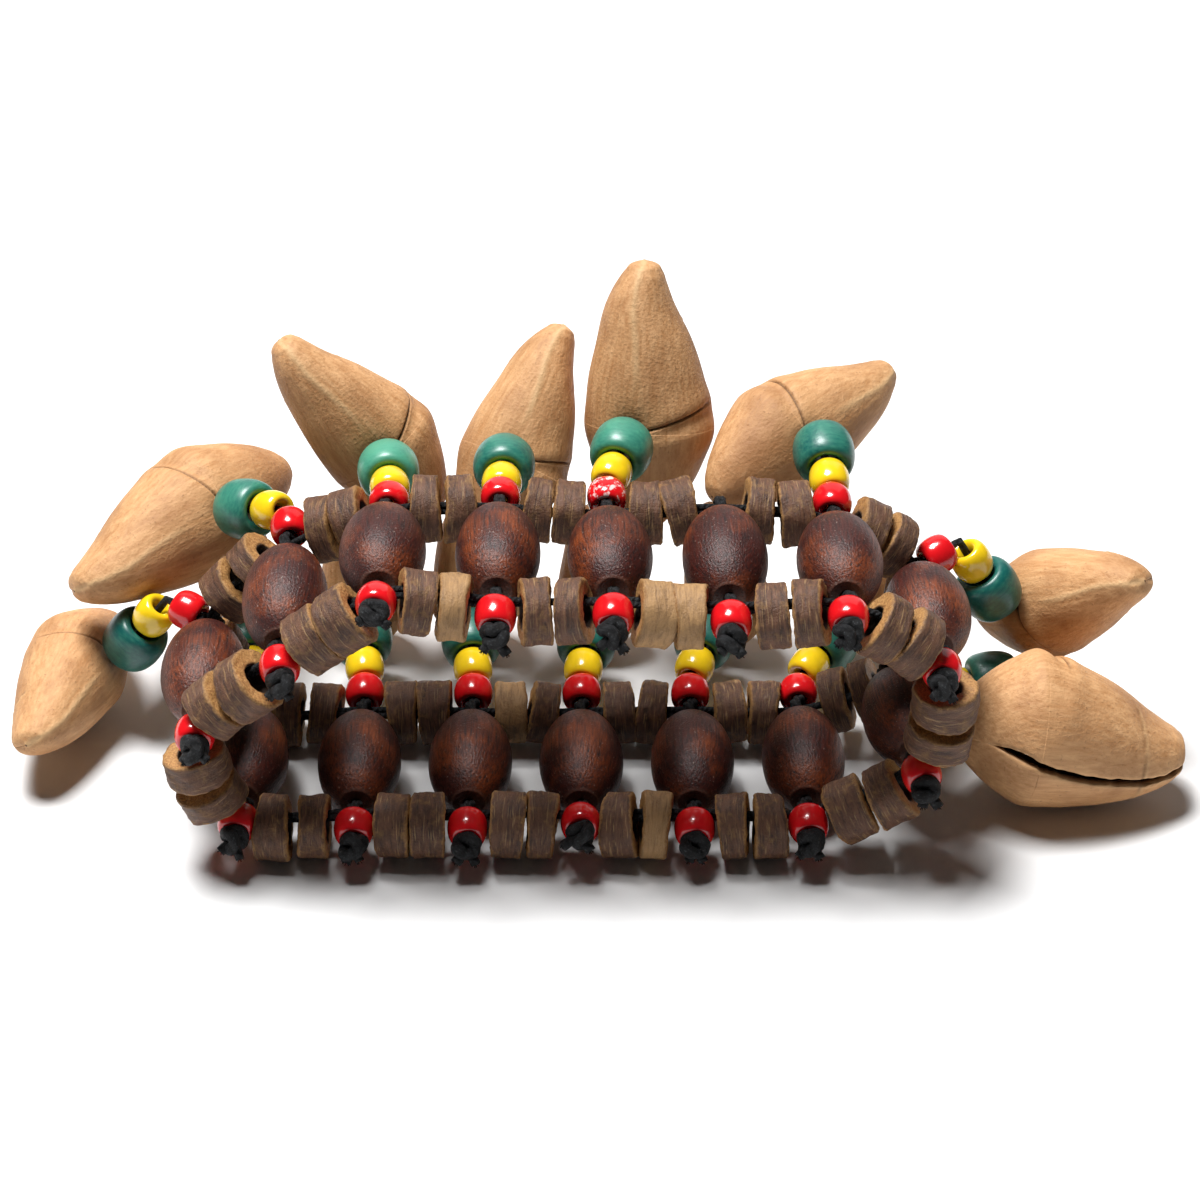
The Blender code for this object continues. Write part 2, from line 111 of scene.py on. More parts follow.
# How far a loop's cord and the bead on it stand off the room round an elastic, as shares of the cord.
LOOP_MIDDLE = 0.3
LOOP_SEAT = 0.4

# A front knot: the share that it swells by, the share of its length that is before its middle, its loose
# ends and their frayed hairs.
KNOT_SWELL = 1.12
KNOT_SEAT = 0.36
TAIL_LENGTHS = (0.0020, 0.0028)
HAIRS = 7
HAIR_ROOT = 0.0003
HAIR_STEP = 0.00022
HAIR_RADIUS = 0.00005

# Stop knot inside a nutshell: across, along the cord, and its middle beyond the cord's last point.
STOP_KNOT = 0.0030
STOP_TALL = 0.0018
STOP_LEAD = 0.0010

# How each nutshell lies and grew: its turn, pitch and roll in degrees, its share of the full size, the
# shares of the usual girth and base length, the side its shoulder is on, how far its mouth gapes in
# millimetres, and the tone of its husk from dark to light.
Nut = namedtuple("Nut", "turn pitch roll share girth base side gape husk")

# How each strand lies: the droop of its front end, the turn and pitch of its bead drop, the tone of its
# green bead from deep to pale, and its nutshell. A strand without a nutshell carries no drop.
Lay = namedtuple("Lay", "droop drop_turn drop_pitch green nut")
LAYS = (
    Lay(10, -71, -56, 0.05, Nut(-78, -33, -84, 0.94, 0.94, 1.00, 1, 0.35, 0.85)),
    Lay(10, -48, -22, 0.40, Nut(-40, -36, -95, 1.06, 1.00, 1.00, 1, 0.30, 0.75)),
    Lay(-10, -5, -10, 0.95, Nut(-17, -19, -33, 0.98, 0.97, 0.92, 1, 0.30, 0.60)),
    Lay(15, 2, -8, 0.30, Nut(-2, -37, 25, 0.97, 0.95, 0.95, 1, 0.35, 0.60)),
    Lay(10, 14, 4, 0.60, Nut(12, -19, -2, 1.07, 1.00, 1.00, 1, 0.40, 0.55)),
    Lay(10, 0, 0, 0.00, None),
    Lay(5, -5, 8, 0.25, Nut(-34, -35, 75, 0.97, 1.00, 1.00, -1, 0.35, 0.65)),
    Lay(10, 80, -61, 0.05, Nut(53, -14, 57, 0.90, 1.00, 1.00, 1, 0.40, 0.80)),
    Lay(10, 81, 1, 0.30, Nut(178, 3, -98, 1.01, 1.28, 0.74, 1, 0.62, 0.85)),
    Lay(10, 32, 8, 0.35, Nut(32, 0, 10, 0.74, 1.00, 0.62, 1, 0.45, 0.75)),
    Lay(10, 16, 10, 0.20, Nut(16, -12, -10, 0.74, 1.00, 0.62, 1, 0.35, 0.50)),
    Lay(-10, 5, 10, 0.15, Nut(5, -15, 0, 0.74, 1.00, 0.62, 1, 0.40, 0.55)),
    Lay(10, -4, 11, 0.25, Nut(-2, -15, -2, 0.75, 1.00, 0.64, 1, 0.30, 0.60)),
    Lay(10, -6, 12, 0.30, Nut(-6, -18, 0, 0.75, 1.00, 0.63, 1, 0.40, 0.45)),
    Lay(10, -15, 10, 0.40, Nut(-1, -21, 12, 0.58, 1.00, 0.71, 1, 0.30, 0.65)),
)

# Outline of a nutshell: place along it from base to beak, its half width and half depth as shares, and
# how far the middle of that section stands to the shoulder's side, as a share of the half width.
NUT_OUTLINE = (
    (-1.000, 0.02, 0.03, 0.080), (-0.985, 0.13, 0.16, 0.080), (-0.930, 0.28, 0.32, 0.090),
    (-0.820, 0.44, 0.47, 0.110), (-0.620, 0.64, 0.66, 0.130), (-0.320, 0.86, 0.88, 0.145),
    (0.000, 1.00, 1.00, 0.145), (0.130, 0.955, 0.99, 0.118), (0.260, 0.895, 0.96, 0.085),
    (0.500, 0.735, 0.85, 0.030), (0.740, 0.505, 0.67, -0.050), (0.860, 0.375, 0.535, -0.045),
    (0.935, 0.275, 0.405, -0.025), (0.975, 0.185, 0.27, -0.020), (1.000, 0.01, 0.01, -0.020),
)

# Relief of a nutshell in millimetres. The shoulder and the dip below it are shares of the half width, and the
# spread of the tie dimple is in square millimetres. Blunt is what each end falls short by.
SHOULDER_HEIGHT = 0.024
DIP_DEPTH = 0.045
CREASE_WIDTH, CREASE_DEPTH = 0.14, 0.40
LINE_WIDTH, LINE_DEPTH = 0.15, 0.10
RIDGE_WIDTH, RIDGE_HEIGHT = 0.22, 0.08
SEAM_WIDTH, SEAM_HEIGHT = 0.40, 0.13
NOTCH_WIDTH, NOTCH_DEPTH = 0.35, 0.30
LIP_WIDTH = 0.75
TIE_SPREAD, TIE_DEPTH = 4.6, 0.9
SWELL_HEIGHT, FIBRE_HEIGHT = 0.17, 0.035
BLUNT = 0.3


def linear(hex_colour):
    """Linear RGB of an sRGB hex colour."""
    shares = [int(hex_colour[i : i + 2], 16) / 255 for i in (1, 3, 5)]
    return tuple(s / 12.92 if s <= 0.04045 else ((s + 0.055) / 1.055) ** 2.4 for s in shares)


def length(name, description, default):
    """Length property."""
    return FloatProperty(
        name=name, description=description, default=default, min=0, unit="LENGTH", precision=5
    )


def share(name, description, default):
    """Property for a share of something."""
    return FloatProperty(name=name, description=description, default=default, min=0, max=1, subtype="FACTOR")


def colour(name, description, default):
    """Colour property from a hex value."""
    return FloatVectorProperty(
        name=name, description=description, default=linear(default), size=3, min=0, max=1, subtype="COLOR"
    )


class BandLooks(bpy.types.PropertyGroup):
    """Sizes and colours of the wrist band."""

    elastic: length("Elastic", "Diameter of one of the two elastic cords of an edge", 0.00085)
    elastic_room: length("Elastic room", "From an elastic's middle to the inside of a loop", 0.00105)
    cord: length("Strand cord", "Diameter of the waxed cord", 0.0010)
    clearance: length("Clearance", "Room left beside a cord", 0.0003)
    ring_diameter: length("Ring diameter", "Outside of a coconut-shell ring", 0.0085)
    ring_bore: length("Ring bore", "Hole of a coconut-shell ring", 0.0038)
    ring_thickness: length("Ring thickness", "Length of a coconut-shell ring", 0.0043)
    ring_gap: length("Ring gap", "Room between the two rings of a pair", 0.0003)
    ring_hang: length("Ring hang", "How far a ring's middle hangs off the elastic", 0.00135)
    ring_wear: length("Ring wear", "How far chips and dents reach into a ring", 0.0008)
    oval_length: length("Oval length", "Length of an oval bead", 0.0170)
    oval_diameter: length("Oval diameter", "Belly of an oval bead", 0.0111)
    oval_end: length("Oval end", "Flat end of an oval bead", 0.0045)
    knot: length("Knot", "Diameter of the knot at a strand's front end", 0.0034)
    knot_length: length("Knot length", "Length of the knot at a strand's front end", 0.0032)
    knot_cord: length("Knot cord", "Thickness of the cord where it is drawn into the knot", 0.0016)
    shell_dark: colour("Shell, dark", "Scraped skin of the coconut shell", "#38241A")
    shell_light: colour("Shell, light", "Ridges of the coconut shell's skin", "#714D38")
    shell_cut: colour("Shell, cut", "Sawn face of the coconut shell", "#BE9159")
    wood_dark: colour("Oval, dark", "Stain in the close grain", "#180908")
    wood_red: colour("Oval, red", "Stain over the open grain", "#4C1A10")
    # Lighter orange where the stain is thin, partly a painted sheen of the wood.
    wood_thin_stain_and_sheen: colour("Oval, glow", "Where the stain is thin", "#86401A")
    cord_black: colour("Cord", "Waxed cord and elastic", "#0B0B0C")


class DropLooks(bpy.types.PropertyGroup):
    """Sizes and colours of the small beads."""

    red_diameter: length("Red diameter", "Red bead", 0.0051)
    red_length: length("Red length", "Red bead", 0.0040)
    red_bore: length("Red bore", "Hole of a red bead", 0.0014)
    red_tuck: length("Red tuck", "How far a front red bead is drawn over its loop", 0.0012)
    yellow_diameter: length("Yellow diameter", "Yellow bead", 0.0052)
    yellow_length: length("Yellow length", "Yellow bead", 0.0044)
    yellow_bore: length("Yellow bore", "Hole of a yellow bead", 0.0014)
    green_diameter: length("Green diameter", "Green bead", 0.0080)
    green_length: length("Green length", "Green bead", 0.0062)
    green_bore: length("Green bore", "Hole of a green bead", 0.0028)
    end_share: share("End share", "End of a bead as a share of its belly", 0.60)
    red: colour("Red", "Red glaze", "#D8141C")
    yellow: colour("Yellow", "Yellow glaze", "#F2CB1C")
    green_deep: colour("Green, deep", "Dye on the darkest green beads", "#0A5651")
    green_pale: colour("Green, pale", "Dye on the palest green beads", "#4A967B")


class NutLooks(bpy.types.PropertyGroup):
    """Sizes and colours of the nutshells."""

    beak: length("Beak", "From the crease to the tip of the beak", 0.0205)
    base: length("Base", "From the crease to the end of the base", 0.0140)
    width: length("Width", "Across the shoulders", 0.0170)
    depth: length("Depth", "From the tie hole to the mouth", 0.0148)
    wall: length("Wall", "Thickness of the shell", 0.0012)
    snug: share("Snug", "Share of the full girth before the husk's swellings", 0.95)
    growth_line: share("Growth line", "Share of the beak below the growth line", 0.60)
    stop_slack: length("Stop slack", "From the tie hole to the knot inside", 0.0027)
    husk_light: colour("Husk, light", "Rubbed fibres", "#D5A778")
    husk_mid: colour("Husk, middle", "Fibres", "#B07E50")
    husk_dark: colour("Husk, dark", "Weathered patches", "#90623C")


class StageLooks(bpy.types.PropertyGroup):
    """Camera and light."""

    target: FloatVectorProperty(
        name="Target",
        description="Point the camera looks at",
        default=(0.00084, -0.00657, 0.02561),
        subtype="XYZ",
    )
    elevation: FloatProperty(
        name="Elevation", description="Camera's height angle", default=math.radians(34.55), subtype="ANGLE"
    )
    distance: length("Distance", "From the camera to its target", 0.47975)
    lens: FloatProperty(name="Lens", description="Focal length in millimetres", default=113.64)
    floor: colour("Floor", "Paper the bracelet lies on", "#E6E6E6")


def feed(tree, made, inputs):
    """Sets a node's inputs to values, or links them to another node's socket or to a list of sockets."""
    for key, value in dict(inputs).items():
        sources = value if isinstance(value, list) else [value]
        if isinstance(sources[0], bpy.types.NodeSocket):
            for source in sources:
                tree.links.new(source, made.inputs[key])
        else:
            made.inputs[key].default_value = value


def node(tree, kind, inputs=(), **settings):
    """Adds a node with its settings and its inputs, and gives its outputs.

    Inputs that share a name go by number. A Map Range has its value at 0, the range it reads at 1 and 2, and
    the range it gives at 3 and 4. A colour Mix has its mask at 0, and the colours under and over at 6 and 7.
    """
    made = tree.nodes.new(kind)
    for key, value in settings.items():
        setattr(made, key, value)
    feed(tree, made, inputs)
    return made.outputs


def new_material(name):
    """Empty node material, and the function that adds nodes to it."""
    made = bpy.data.materials.new(name)
    made.use_nodes = True
    return made, partial(node, made.node_tree)


def paint(shade):
    """A hex colour or a colour property as a colour socket takes it."""
    return (*(linear(shade) if isinstance(shade, str) else shade), 1.0)


def surface_fields(add):
    """A piece's own coordinates in millimetres, and its tone."""
    place = add("ShaderNodeAttribute", attribute_name="place")["Vector"]
    return place, add("ShaderNodeAttribute", attribute_name="tone")["Fac"]


def own_pattern(add, place, tone, stride):
    """Coordinates moved on by the tone, so that no two pieces show the same stretch of a pattern."""
    shift = add("ShaderNodeCombineXYZ", {0: tone, 1: tone, 2: tone})[0]
    return add("ShaderNodeVectorMath", {0: shift, 1: stride, 2: place}, operation="MULTIPLY_ADD")[0]


def painted(add, shade, *layers):
    """Lays colours over a first one, each by its own mask: hex values, colour properties or sockets."""
    for mask, layer in layers:
        under, over = (c if isinstance(c, bpy.types.NodeSocket) else paint(c) for c in (shade, layer))
        shade = add("ShaderNodeMix", {0: mask, 6: under, 7: over}, data_type="RGBA")[2]
    return shade


def dressed(made, sockets, relief, strength, depth, coat_follows=False):
    """Gives a material's shader its sockets, and a relief of a depth in metres. The coat may follow it."""
    tree = made.node_tree
    bump = node(tree, "ShaderNodeBump", {"Strength": strength, "Distance": depth, "Height": relief})[0]
    normals = ("Normal", "Coat Normal") if coat_follows else ("Normal",)
    feed(tree, tree.nodes["Principled BSDF"], {**sockets, **dict.fromkeys(normals, bump)})
    return made


def dried_husk():
    """Dry nut husk: matt, with long fibres, freckles, painted shade in the crease, tie dimple and growth
    line, a pale seam and a brown inside.
    """
    looks = bpy.context.scene.bracelet_nuts
    made, add = new_material("dried_nut_husk")
    place, tone = surface_fields(add)
    marks = add("ShaderNodeAttribute", attribute_name="marks")["Vector"]
    # The first mark is painted shade: the crease, the tie dimple and the growth line darkened.
    crease, seam, inside = add("ShaderNodeSeparateXYZ", {0: marks})
    # Fibres are about 0.6 mm wide and 7 mm long, patches about 8 mm, freckles about 0.4 mm.
    along = add("ShaderNodeMapping", {"Vector": place, "Scale": (1.6, 1.6, 0.14)})[0]
    fibre = add("ShaderNodeTexNoise", {"Vector": along, "Scale": 1.0, "Detail": 6.0, "Roughness": 0.68})[0]
    patch = add("ShaderNodeTexNoise", {"Vector": place, "Scale": 0.13, "Detail": 3.0})[0]
    freckle = add("ShaderNodeTexNoise", {"Vector": place, "Scale": 2.4, "Detail": 2.0})[0]
    streak, blotch, spots = (
        add("ShaderNodeMapRange", {0: field, 1: low, 2: high, 4: most})[0]
        for field, low, high, most in (
            (fibre, 0.30, 0.70, 1.0),
            (patch, 0.42, 0.72, 0.75),
            (freckle, 0.64, 0.74, 0.40),
        )
    )
    brightness = add("ShaderNodeMapRange", {0: tone, 3: 0.82, 4: 1.10})[0]
    rough = add("ShaderNodeMapRange", {0: streak, 3: 0.52, 4: 0.70})[0]
    relief = add("ShaderNodeMath", {0: fibre, 1: freckle}, operation="ADD")[0]
    shade = painted(
        add,
        looks.husk_mid,
        (streak, looks.husk_light),
        (blotch, looks.husk_dark),
        (spots, "#6A4729"),
        (seam, "#D2B083"),
        # Painted shade in the crease, the tie dimple and the growth line.
        (crease, "#2A180D"),
        (inside, "#4A3220"),
    )
    shade = add("ShaderNodeHueSaturation", {"Value": brightness, "Color": shade})[0]
    sockets = {"Base Color": shade, "Roughness": rough, "IOR": 1.45, "Specular IOR Level": 0.35}
    return dressed(made, sockets, relief, strength=0.55, depth=0.00018)


def coconut_shell():
    """Sawn coconut shell: scraped dark skin with lines round it, and tan, grainy sawn faces."""
    looks = bpy.context.scene.bracelet_band
    made, add = new_material("sawn_coconut_shell")
    place, tone = surface_fields(add)
    own = own_pattern(add, place, tone, SURFACE_STRIDE)
    x, y, z = add("ShaderNodeSeparateXYZ", {0: place})
    flat = add("ShaderNodeCombineXYZ", {0: x, 1: y})[0]
    radius = add("ShaderNodeVectorMath", {0: flat}, operation="LENGTH")["Value"]
    height = add("ShaderNodeMath", {0: z}, operation="ABSOLUTE")[0]
    # Fibres run round the ring about 0.7 mm apart and scratches about 0.2 mm apart. The sawn grain is about
    # 0.3 mm and scuffs are about 2 mm.
    around = add("ShaderNodeMapping", {"Vector": own, "Scale": (0.30, 0.30, 1.5)})[0]
    lines = {"Vector": around, "Scale": 1.0, "Detail": 6.0, "Roughness": 0.75, "Distortion": 0.8}
    lines = add("ShaderNodeTexNoise", lines)[0]
    thin = add("ShaderNodeMapping", {"Vector": own, "Scale": (0.35, 0.35, 5.5)})[0]
    thin = add("ShaderNodeTexNoise", {"Vector": thin, "Scale": 1.0, "Detail": 3.0})[0]
    grain, scuff = (
        add("ShaderNodeTexNoise", {"Vector": own, "Scale": scale, "Detail": detail, "Roughness": 0.7})[0]
        for scale, detail in ((3.2, 3.0), (0.55, 5.0))
    )
    # With the scuffs' 0.8 mm or so added, a sawn face starts about 1.9 mm from the ring's middle. It darkens
    # beyond a radius of 3.7 mm, and painted shade darkens the bore within about 2.1 mm.
    face = add("ShaderNodeMath", {0: scuff, 1: 1.6, 2: height}, operation="MULTIPLY_ADD")[0]
    ridge, gritty, scratch, worn, pale, sawn, skin, bore_shade = (
        add("ShaderNodeMapRange", {0: field, 1: low, 2: high, 4: most})[0]
        for field, low, high, most in (
            (lines, 0.34, 0.66, 1.0),
            (grain, 0.32, 0.66, 1.0),
            (thin, 0.58, 0.68, 0.65),
            (scuff, 0.54, 0.68, 0.65),
            (tone, 0.70, 0.95, 1.0),
            (face, 2.55, 2.85, 1.0),
            (radius, 3.70, 4.2, 0.35),
            (radius, 2.35, 1.95, 1.0),
        )
    )
    bare = add("ShaderNodeMapRange", {0: lines, 1: 0.36, 2: 0.58, 3: 0.45, 4: 0.95})[0]
    bare = add("ShaderNodeMath", {0: pale, 1: bare}, operation="MULTIPLY")[0]
    rough = add("ShaderNodeMapRange", {0: scuff, 1: 0.3, 2: 0.7, 3: 0.42, 4: 0.72})[0]
    relief = add("ShaderNodeMath", {0: grain, 1: lines}, operation="ADD")[0]
    cut = painted(add, "#83572E", (gritty, looks.shell_cut), (skin, "#4B3625"))
    shade = painted(
        add,
        looks.shell_dark,
        (ridge, looks.shell_light),
        (worn, "#86653F"),
        (scratch, "#A08058"),
        (bare, "#AD875A"),
        (sawn, cut),
        # Painted shade in the bore.
        (bore_shade, "#2B1B10"),
    )
    sockets = {"Base Color": shade, "Roughness": rough, "IOR": 1.5, "Specular IOR Level": 0.4}
    return dressed(made, sockets, relief, strength=0.7, depth=0.0002)


def stained_wood():
    """Turned wood, stained red-brown and varnished: fine grain along the bead, soft broad gloss."""
    looks = bpy.context.scene.bracelet_band
    made, add = new_material("stained_varnished_wood")
    place, tone = surface_fields(add)
    own = own_pattern(add, place, tone, OVAL_STRIDE)
    height = add("ShaderNodeMath", {0: add("ShaderNodeSeparateXYZ", {0: place})[2]}, operation="ABSOLUTE")[0]
    # Grain lines are about 0.3 mm wide and 4.5 mm long. Lighter patches of about 6 mm are partly thin stain
    # and partly a painted sheen, and specks of dust are about 0.3 mm. A painted highlight lightens the rim in
    # the last 0.4 mm before a bead's end.
    along = add("ShaderNodeMapping", {"Vector": own, "Scale": (3.4, 3.4, 0.22)})[0]
    grain = add("ShaderNodeTexNoise", {"Vector": along, "Scale": 1.0, "Detail": 5.0, "Roughness": 0.65})[0]
    patch, dust = (
        add("ShaderNodeTexNoise", {"Vector": own, "Scale": scale, "Detail": 2.0})[0] for scale in (0.17, 3.4)
    )
    close, thin, specks, rim_highlight = (
        add("ShaderNodeMapRange", {0: field, 1: low, 2: high, 4: most})[0]
        for field, low, high, most in (
            (grain, 0.32, 0.68, 1.0),
            (patch, 0.44, 0.68, 1.0),
            (dust, 0.67, 0.73, 0.55),
            (height, 8.12, 8.34, 0.30),
        )
    )
    thin = add("ShaderNodeMath", {0: thin, 1: close}, operation="MULTIPLY")[0]
    rough = add("ShaderNodeMapRange", {0: close, 3: 0.56, 4: 0.42})[0]
    relief = add("ShaderNodeMath", {0: grain, 1: dust}, operation="ADD")[0]
    shade = painted(
        add,
        looks.wood_dark,
        (close, looks.wood_red),
        # Thin stain in patches, partly a painted sheen.
        (thin, looks.wood_thin_stain_and_sheen),
        # Painted highlight along the rim of each end.
        (rim_highlight, "#7C5C4E"),
        (specks, "#A08C80"),
    )
    sockets = {"Base Color": shade, "Roughness": rough, "Specular IOR Level": 0.30}
    sockets |= {"Coat Weight": 0.22, "Coat Roughness": 0.42}
    return dressed(made, sockets, relief, strength=0.60, depth=0.00016, coat_follows=True)


def glazed_bead(name, shade):
    """Glass bead with an even glaze: clear colour, hard gloss, and white chips where its tone is above 1."""
    made, add = new_material(name)
    place, tone = surface_fields(add)
    # The glaze clouds over about 2 mm, and chips are about 1 mm with finer edges.
    cloud = add("ShaderNodeTexNoise", {"Vector": place, "Scale": 0.5, "Detail": 3.0})[0]
    chips = add("ShaderNodeTexNoise", {"Vector": place, "Scale": 0.9, "Detail": 4.0, "Roughness": 0.6})[0]
    deep, flaked, struck = (
        add("ShaderNodeMapRange", {0: field, 1: low, 2: high, 4: most})[0]
        for field, low, high, most in (
            (cloud, 0.35, 0.75, 0.45),
            (chips, 0.52, 0.58, 1.0),
            (tone, 1.0, 1.2, 0.85),
        )
    )
    flaked = add("ShaderNodeMath", {0: flaked, 1: struck}, operation="MULTIPLY")[0]
    rough = add("ShaderNodeMapRange", {0: cloud, 3: 0.14, 4: 0.26})[0]
    darker = tuple(0.62 * part for part in shade)
    base = painted(add, shade, (deep, darker), (flaked, "#F0D8D4"))
    sockets = {"Base Color": base, "Roughness": rough, "IOR": 1.5}
    sockets |= {"Coat Weight": 0.4, "Coat Roughness": 0.08}
    return dressed(made, sockets, cloud, strength=0.2, depth=0.0001)


def dyed_wood():
    """Wooden bead, dyed blue-green and waxed: the grain shows through, some beads took less dye."""
    looks = bpy.context.scene.bracelet_drops
    made, add = new_material("green_dyed_wood")
    place, tone = surface_fields(add)
    # Grain lines are about 0.4 mm wide and 2 mm long, and the dye clouds over about 3 mm.
    along = add("ShaderNodeMapping", {"Vector": place, "Scale": (2.4, 0.5, 2.4)})[0]
    grain = add("ShaderNodeTexNoise", {"Vector": along, "Scale": 1.0, "Detail": 5.0, "Roughness": 0.65})[0]
    cloud = add("ShaderNodeTexNoise", {"Vector": place, "Scale": 0.33, "Detail": 3.0})[0]
    close = add("ShaderNodeMapRange", {0: grain, 1: 0.3, 2: 0.7, 3: -0.22, 4: 0.22})[0]
    uneven = add("ShaderNodeMapRange", {0: cloud, 1: 0.3, 2: 0.7, 3: -0.15, 4: 0.2})[0]
    dye = add("ShaderNodeMath", {0: tone, 1: close}, operation="ADD")[0]
    dye = add("ShaderNodeMath", {0: dye, 1: uneven}, operation="ADD", use_clamp=True)[0]
    rough = add("ShaderNodeMapRange", {0: grain, 3: 0.28, 4: 0.48})[0]
    shade = painted(add, looks.green_deep, (dye, looks.green_pale))
    sockets = {"Base Color": shade, "Roughness": rough, "IOR": 1.48}
    sockets |= {"Coat Weight": 0.2, "Coat Roughness": 0.25}
    return dressed(made, sockets, grain, strength=0.35, depth=0.0001)


def black_cord(name, twist, roughness):
    """Black cord: twisted or ribbed along its length, with a dull waxy sheen and pale specks of dust."""
    looks = bpy.context.scene.bracelet_band
    made, add = new_material(name)
    place = add("ShaderNodeAttribute", attribute_name="place")["Vector"]
    x, y, z = add("ShaderNodeSeparateXYZ", {0: place})
    # Twist is the millimetres along the cord from one of its two yarns to the next. Lint is about 0.2 mm.
    angle = add("ShaderNodeMath", {0: y, 1: x}, operation="ARCTAN2")[0]
    run = add("ShaderNodeMath", {0: z, 1: 2 * math.pi / twist}, operation="MULTIPLY")[0]
    turns = add("ShaderNodeMath", {0: angle, 1: 2.0, 2: run}, operation="MULTIPLY_ADD")[0]
    yarn = add("ShaderNodeMath", {0: turns}, operation="SINE")[0]
    lint = add("ShaderNodeTexNoise", {"Vector": place, "Scale": 4.5, "Detail": 5.0, "Roughness": 0.7})[0]
    # The yarns' crests are raised in the relief and also painted lighter, a painted highlight.
    raised = add("ShaderNodeMapRange", {0: yarn, 1: -1.0, 2: 1.0, 4: 0.6})[0]
    specks = add("ShaderNodeMapRange", {0: lint, 1: 0.55, 2: 0.72, 4: 0.50})[0]
    relief = add("ShaderNodeMath", {0: raised, 1: lint}, operation="ADD")[0]
    # Painted highlight: the yarns' crests lighter than the black cord.
    shade = painted(add, looks.cord_black, (raised, "#222326"), (specks, "#6F7477"))
    sockets = {"Base Color": shade, "Roughness": roughness, "Specular IOR Level": 0.25}
    return dressed(made, sockets, relief, strength=1.0, depth=0.0003)


def material(name):
    """Material by name, made when it is first asked for."""
    drops = bpy.context.scene.bracelet_drops
    makers = {
        "dried_nut_husk": dried_husk,
        "sawn_coconut_shell": coconut_shell,
        "stained_varnished_wood": stained_wood,
        "red_glass_bead": lambda: glazed_bead("red_glass_bead", drops.red),
        "yellow_glass_bead": lambda: glazed_bead("yellow_glass_bead", drops.yellow),
        "green_dyed_wood": dyed_wood,
        "black_waxed_cord": lambda: black_cord("black_waxed_cord", twist=1.3, roughness=0.55),
        "black_covered_elastic": lambda: black_cord("black_covered_elastic", twist=0.7, roughness=0.7),
    }
    return bpy.data.materials.get(name) or makers[name]()


def heading(turn, pitch):
    """Unit vector a turn from straight back towards +X, and a pitch above level, in degrees."""
    turn, pitch = math.radians(turn), math.radians(pitch)
    return Vector((math.sin(turn) * math.cos(pitch), math.cos(turn) * math.cos(pitch), math.sin(pitch)))


def square_to(vector, axis):
    """Unit vector: the part of a vector that lies square to an axis."""
    return (vector - axis * vector.dot(axis)).normalized()


def frame_at(origin, z_axis, y_hint):
    """Matrix at an origin whose Z runs along one vector and whose Y leans to another."""
    z_axis = z_axis.normalized()
    y_axis = square_to(y_hint, z_axis)
    return Matrix.Translation(origin) @ Matrix((y_axis.cross(z_axis), y_axis, z_axis)).transposed().to_4x4()


def route_point(points, place):
    """Point and heading of the closed smooth curve through some points, at a fractional place."""
    index = math.floor(place)
    part = place - index
    before, start, end, after = (points[(index + step) % len(points)] for step in (-1, 0, 1, 2))
    leave, arrive = (end - before) / 2, (after - start) / 2
    squared, cubed = part * part, part**3
    point = start * (2 * cubed - 3 * squared + 1) + leave * (cubed - 2 * squared + part)
    point += end * (3 * squared - 2 * cubed) + arrive * (cubed - squared)
    slope = (end - start) * (6 * part - 6 * squared)
    slope += leave * (3 * squared - 4 * part + 1) + arrive * (3 * squared - 2 * part)
    return point, slope.normalized()


def loop_seat():
    """From an elastic's middle to where a bead sits on its loop."""
    band = bpy.context.scene.bracelet_band
    return band.elastic_room + LOOP_SEAT * band.cord


def crossings():
    """Where the strands cross the front elastic and the rear one, from the oval beads' own axes."""
    band = bpy.context.scene.bracelet_band
    reach = band.oval_length / 2 + band.elastic_room + band.cord + band.clearance
    front, rear = [], []
    spins = {joint["name"]: joint for joint in frame["joints"]}
    for number in range(1, len(LAYS) + 1):
        spin = spins[f"oval_spin_{number:02d}"]
        middle, axis = Vector(spin["pos_m"]), Vector(spin["axis"]).normalized()
        front.append(middle - axis * reach)
        rear.append(middle + axis * reach)
    return front, rear


def drop_places(pivot, lay, rear_along):
    """Headings of a drop's beads and nutshell, and the points its cord passes through."""
    band, drops = bpy.context.scene.bracelet_band, bpy.context.scene.bracelet_drops
    way, into = heading(lay.drop_turn, lay.drop_pitch), heading(lay.nut.turn, lay.nut.pitch)
    out = square_to(way, rear_along)
    start = pivot + out * loop_seat()
    bend = out.cross(way).length * max(drops.red_diameter, drops.yellow_diameter) / 2 * drops.end_share
    turn = start + out * (drops.red_length + bend)
    last = turn + way * (bend + drops.yellow_length + drops.green_length)
    belly = drops.green_diameter / 2
    fold, level = way.cross(into).length, way.dot(into)
    room = max(0.0, belly * drops.end_share * fold, belly * fold - drops.green_length / 2 * level)
    tie = last + into * (room + band.clearance)
    return way, into, out, start, turn, last, tie


class Mould:
    """Gathers points, faces and attributes of one piece."""

    def __init__(self):
        self.points, self.faces, self.place, self.tone = [], [], [], []

    def add(self, points, faces, place, tone=0.5):
        """Adds a shape, with each point's own place in millimetres and one tone."""
        first = len(self.points)
        self.points += [tuple(point) for point in points]
        self.faces += [tuple(first + corner for corner in face) for face in faces]
        self.place += [tuple(point) for point in place]
        self.tone += [tone] * len(points)

    def cast(self, name, finish):
        """The piece as an object at the origin."""
        mesh = bpy.data.meshes.new(name)
        mesh.from_pydata(self.points, [], self.faces)
        mesh.attributes.new("place", "FLOAT_VECTOR", "POINT").data.foreach_set("vector", np.ravel(self.place))
        mesh.attributes.new("tone", "FLOAT", "POINT").data.foreach_set("value", self.tone)
        mesh.shade_smooth()
        mesh.materials.append(material(finish))
        made = bpy.data.objects.new(name, mesh)
        bpy.context.scene.collection.objects.link(made)
        return made


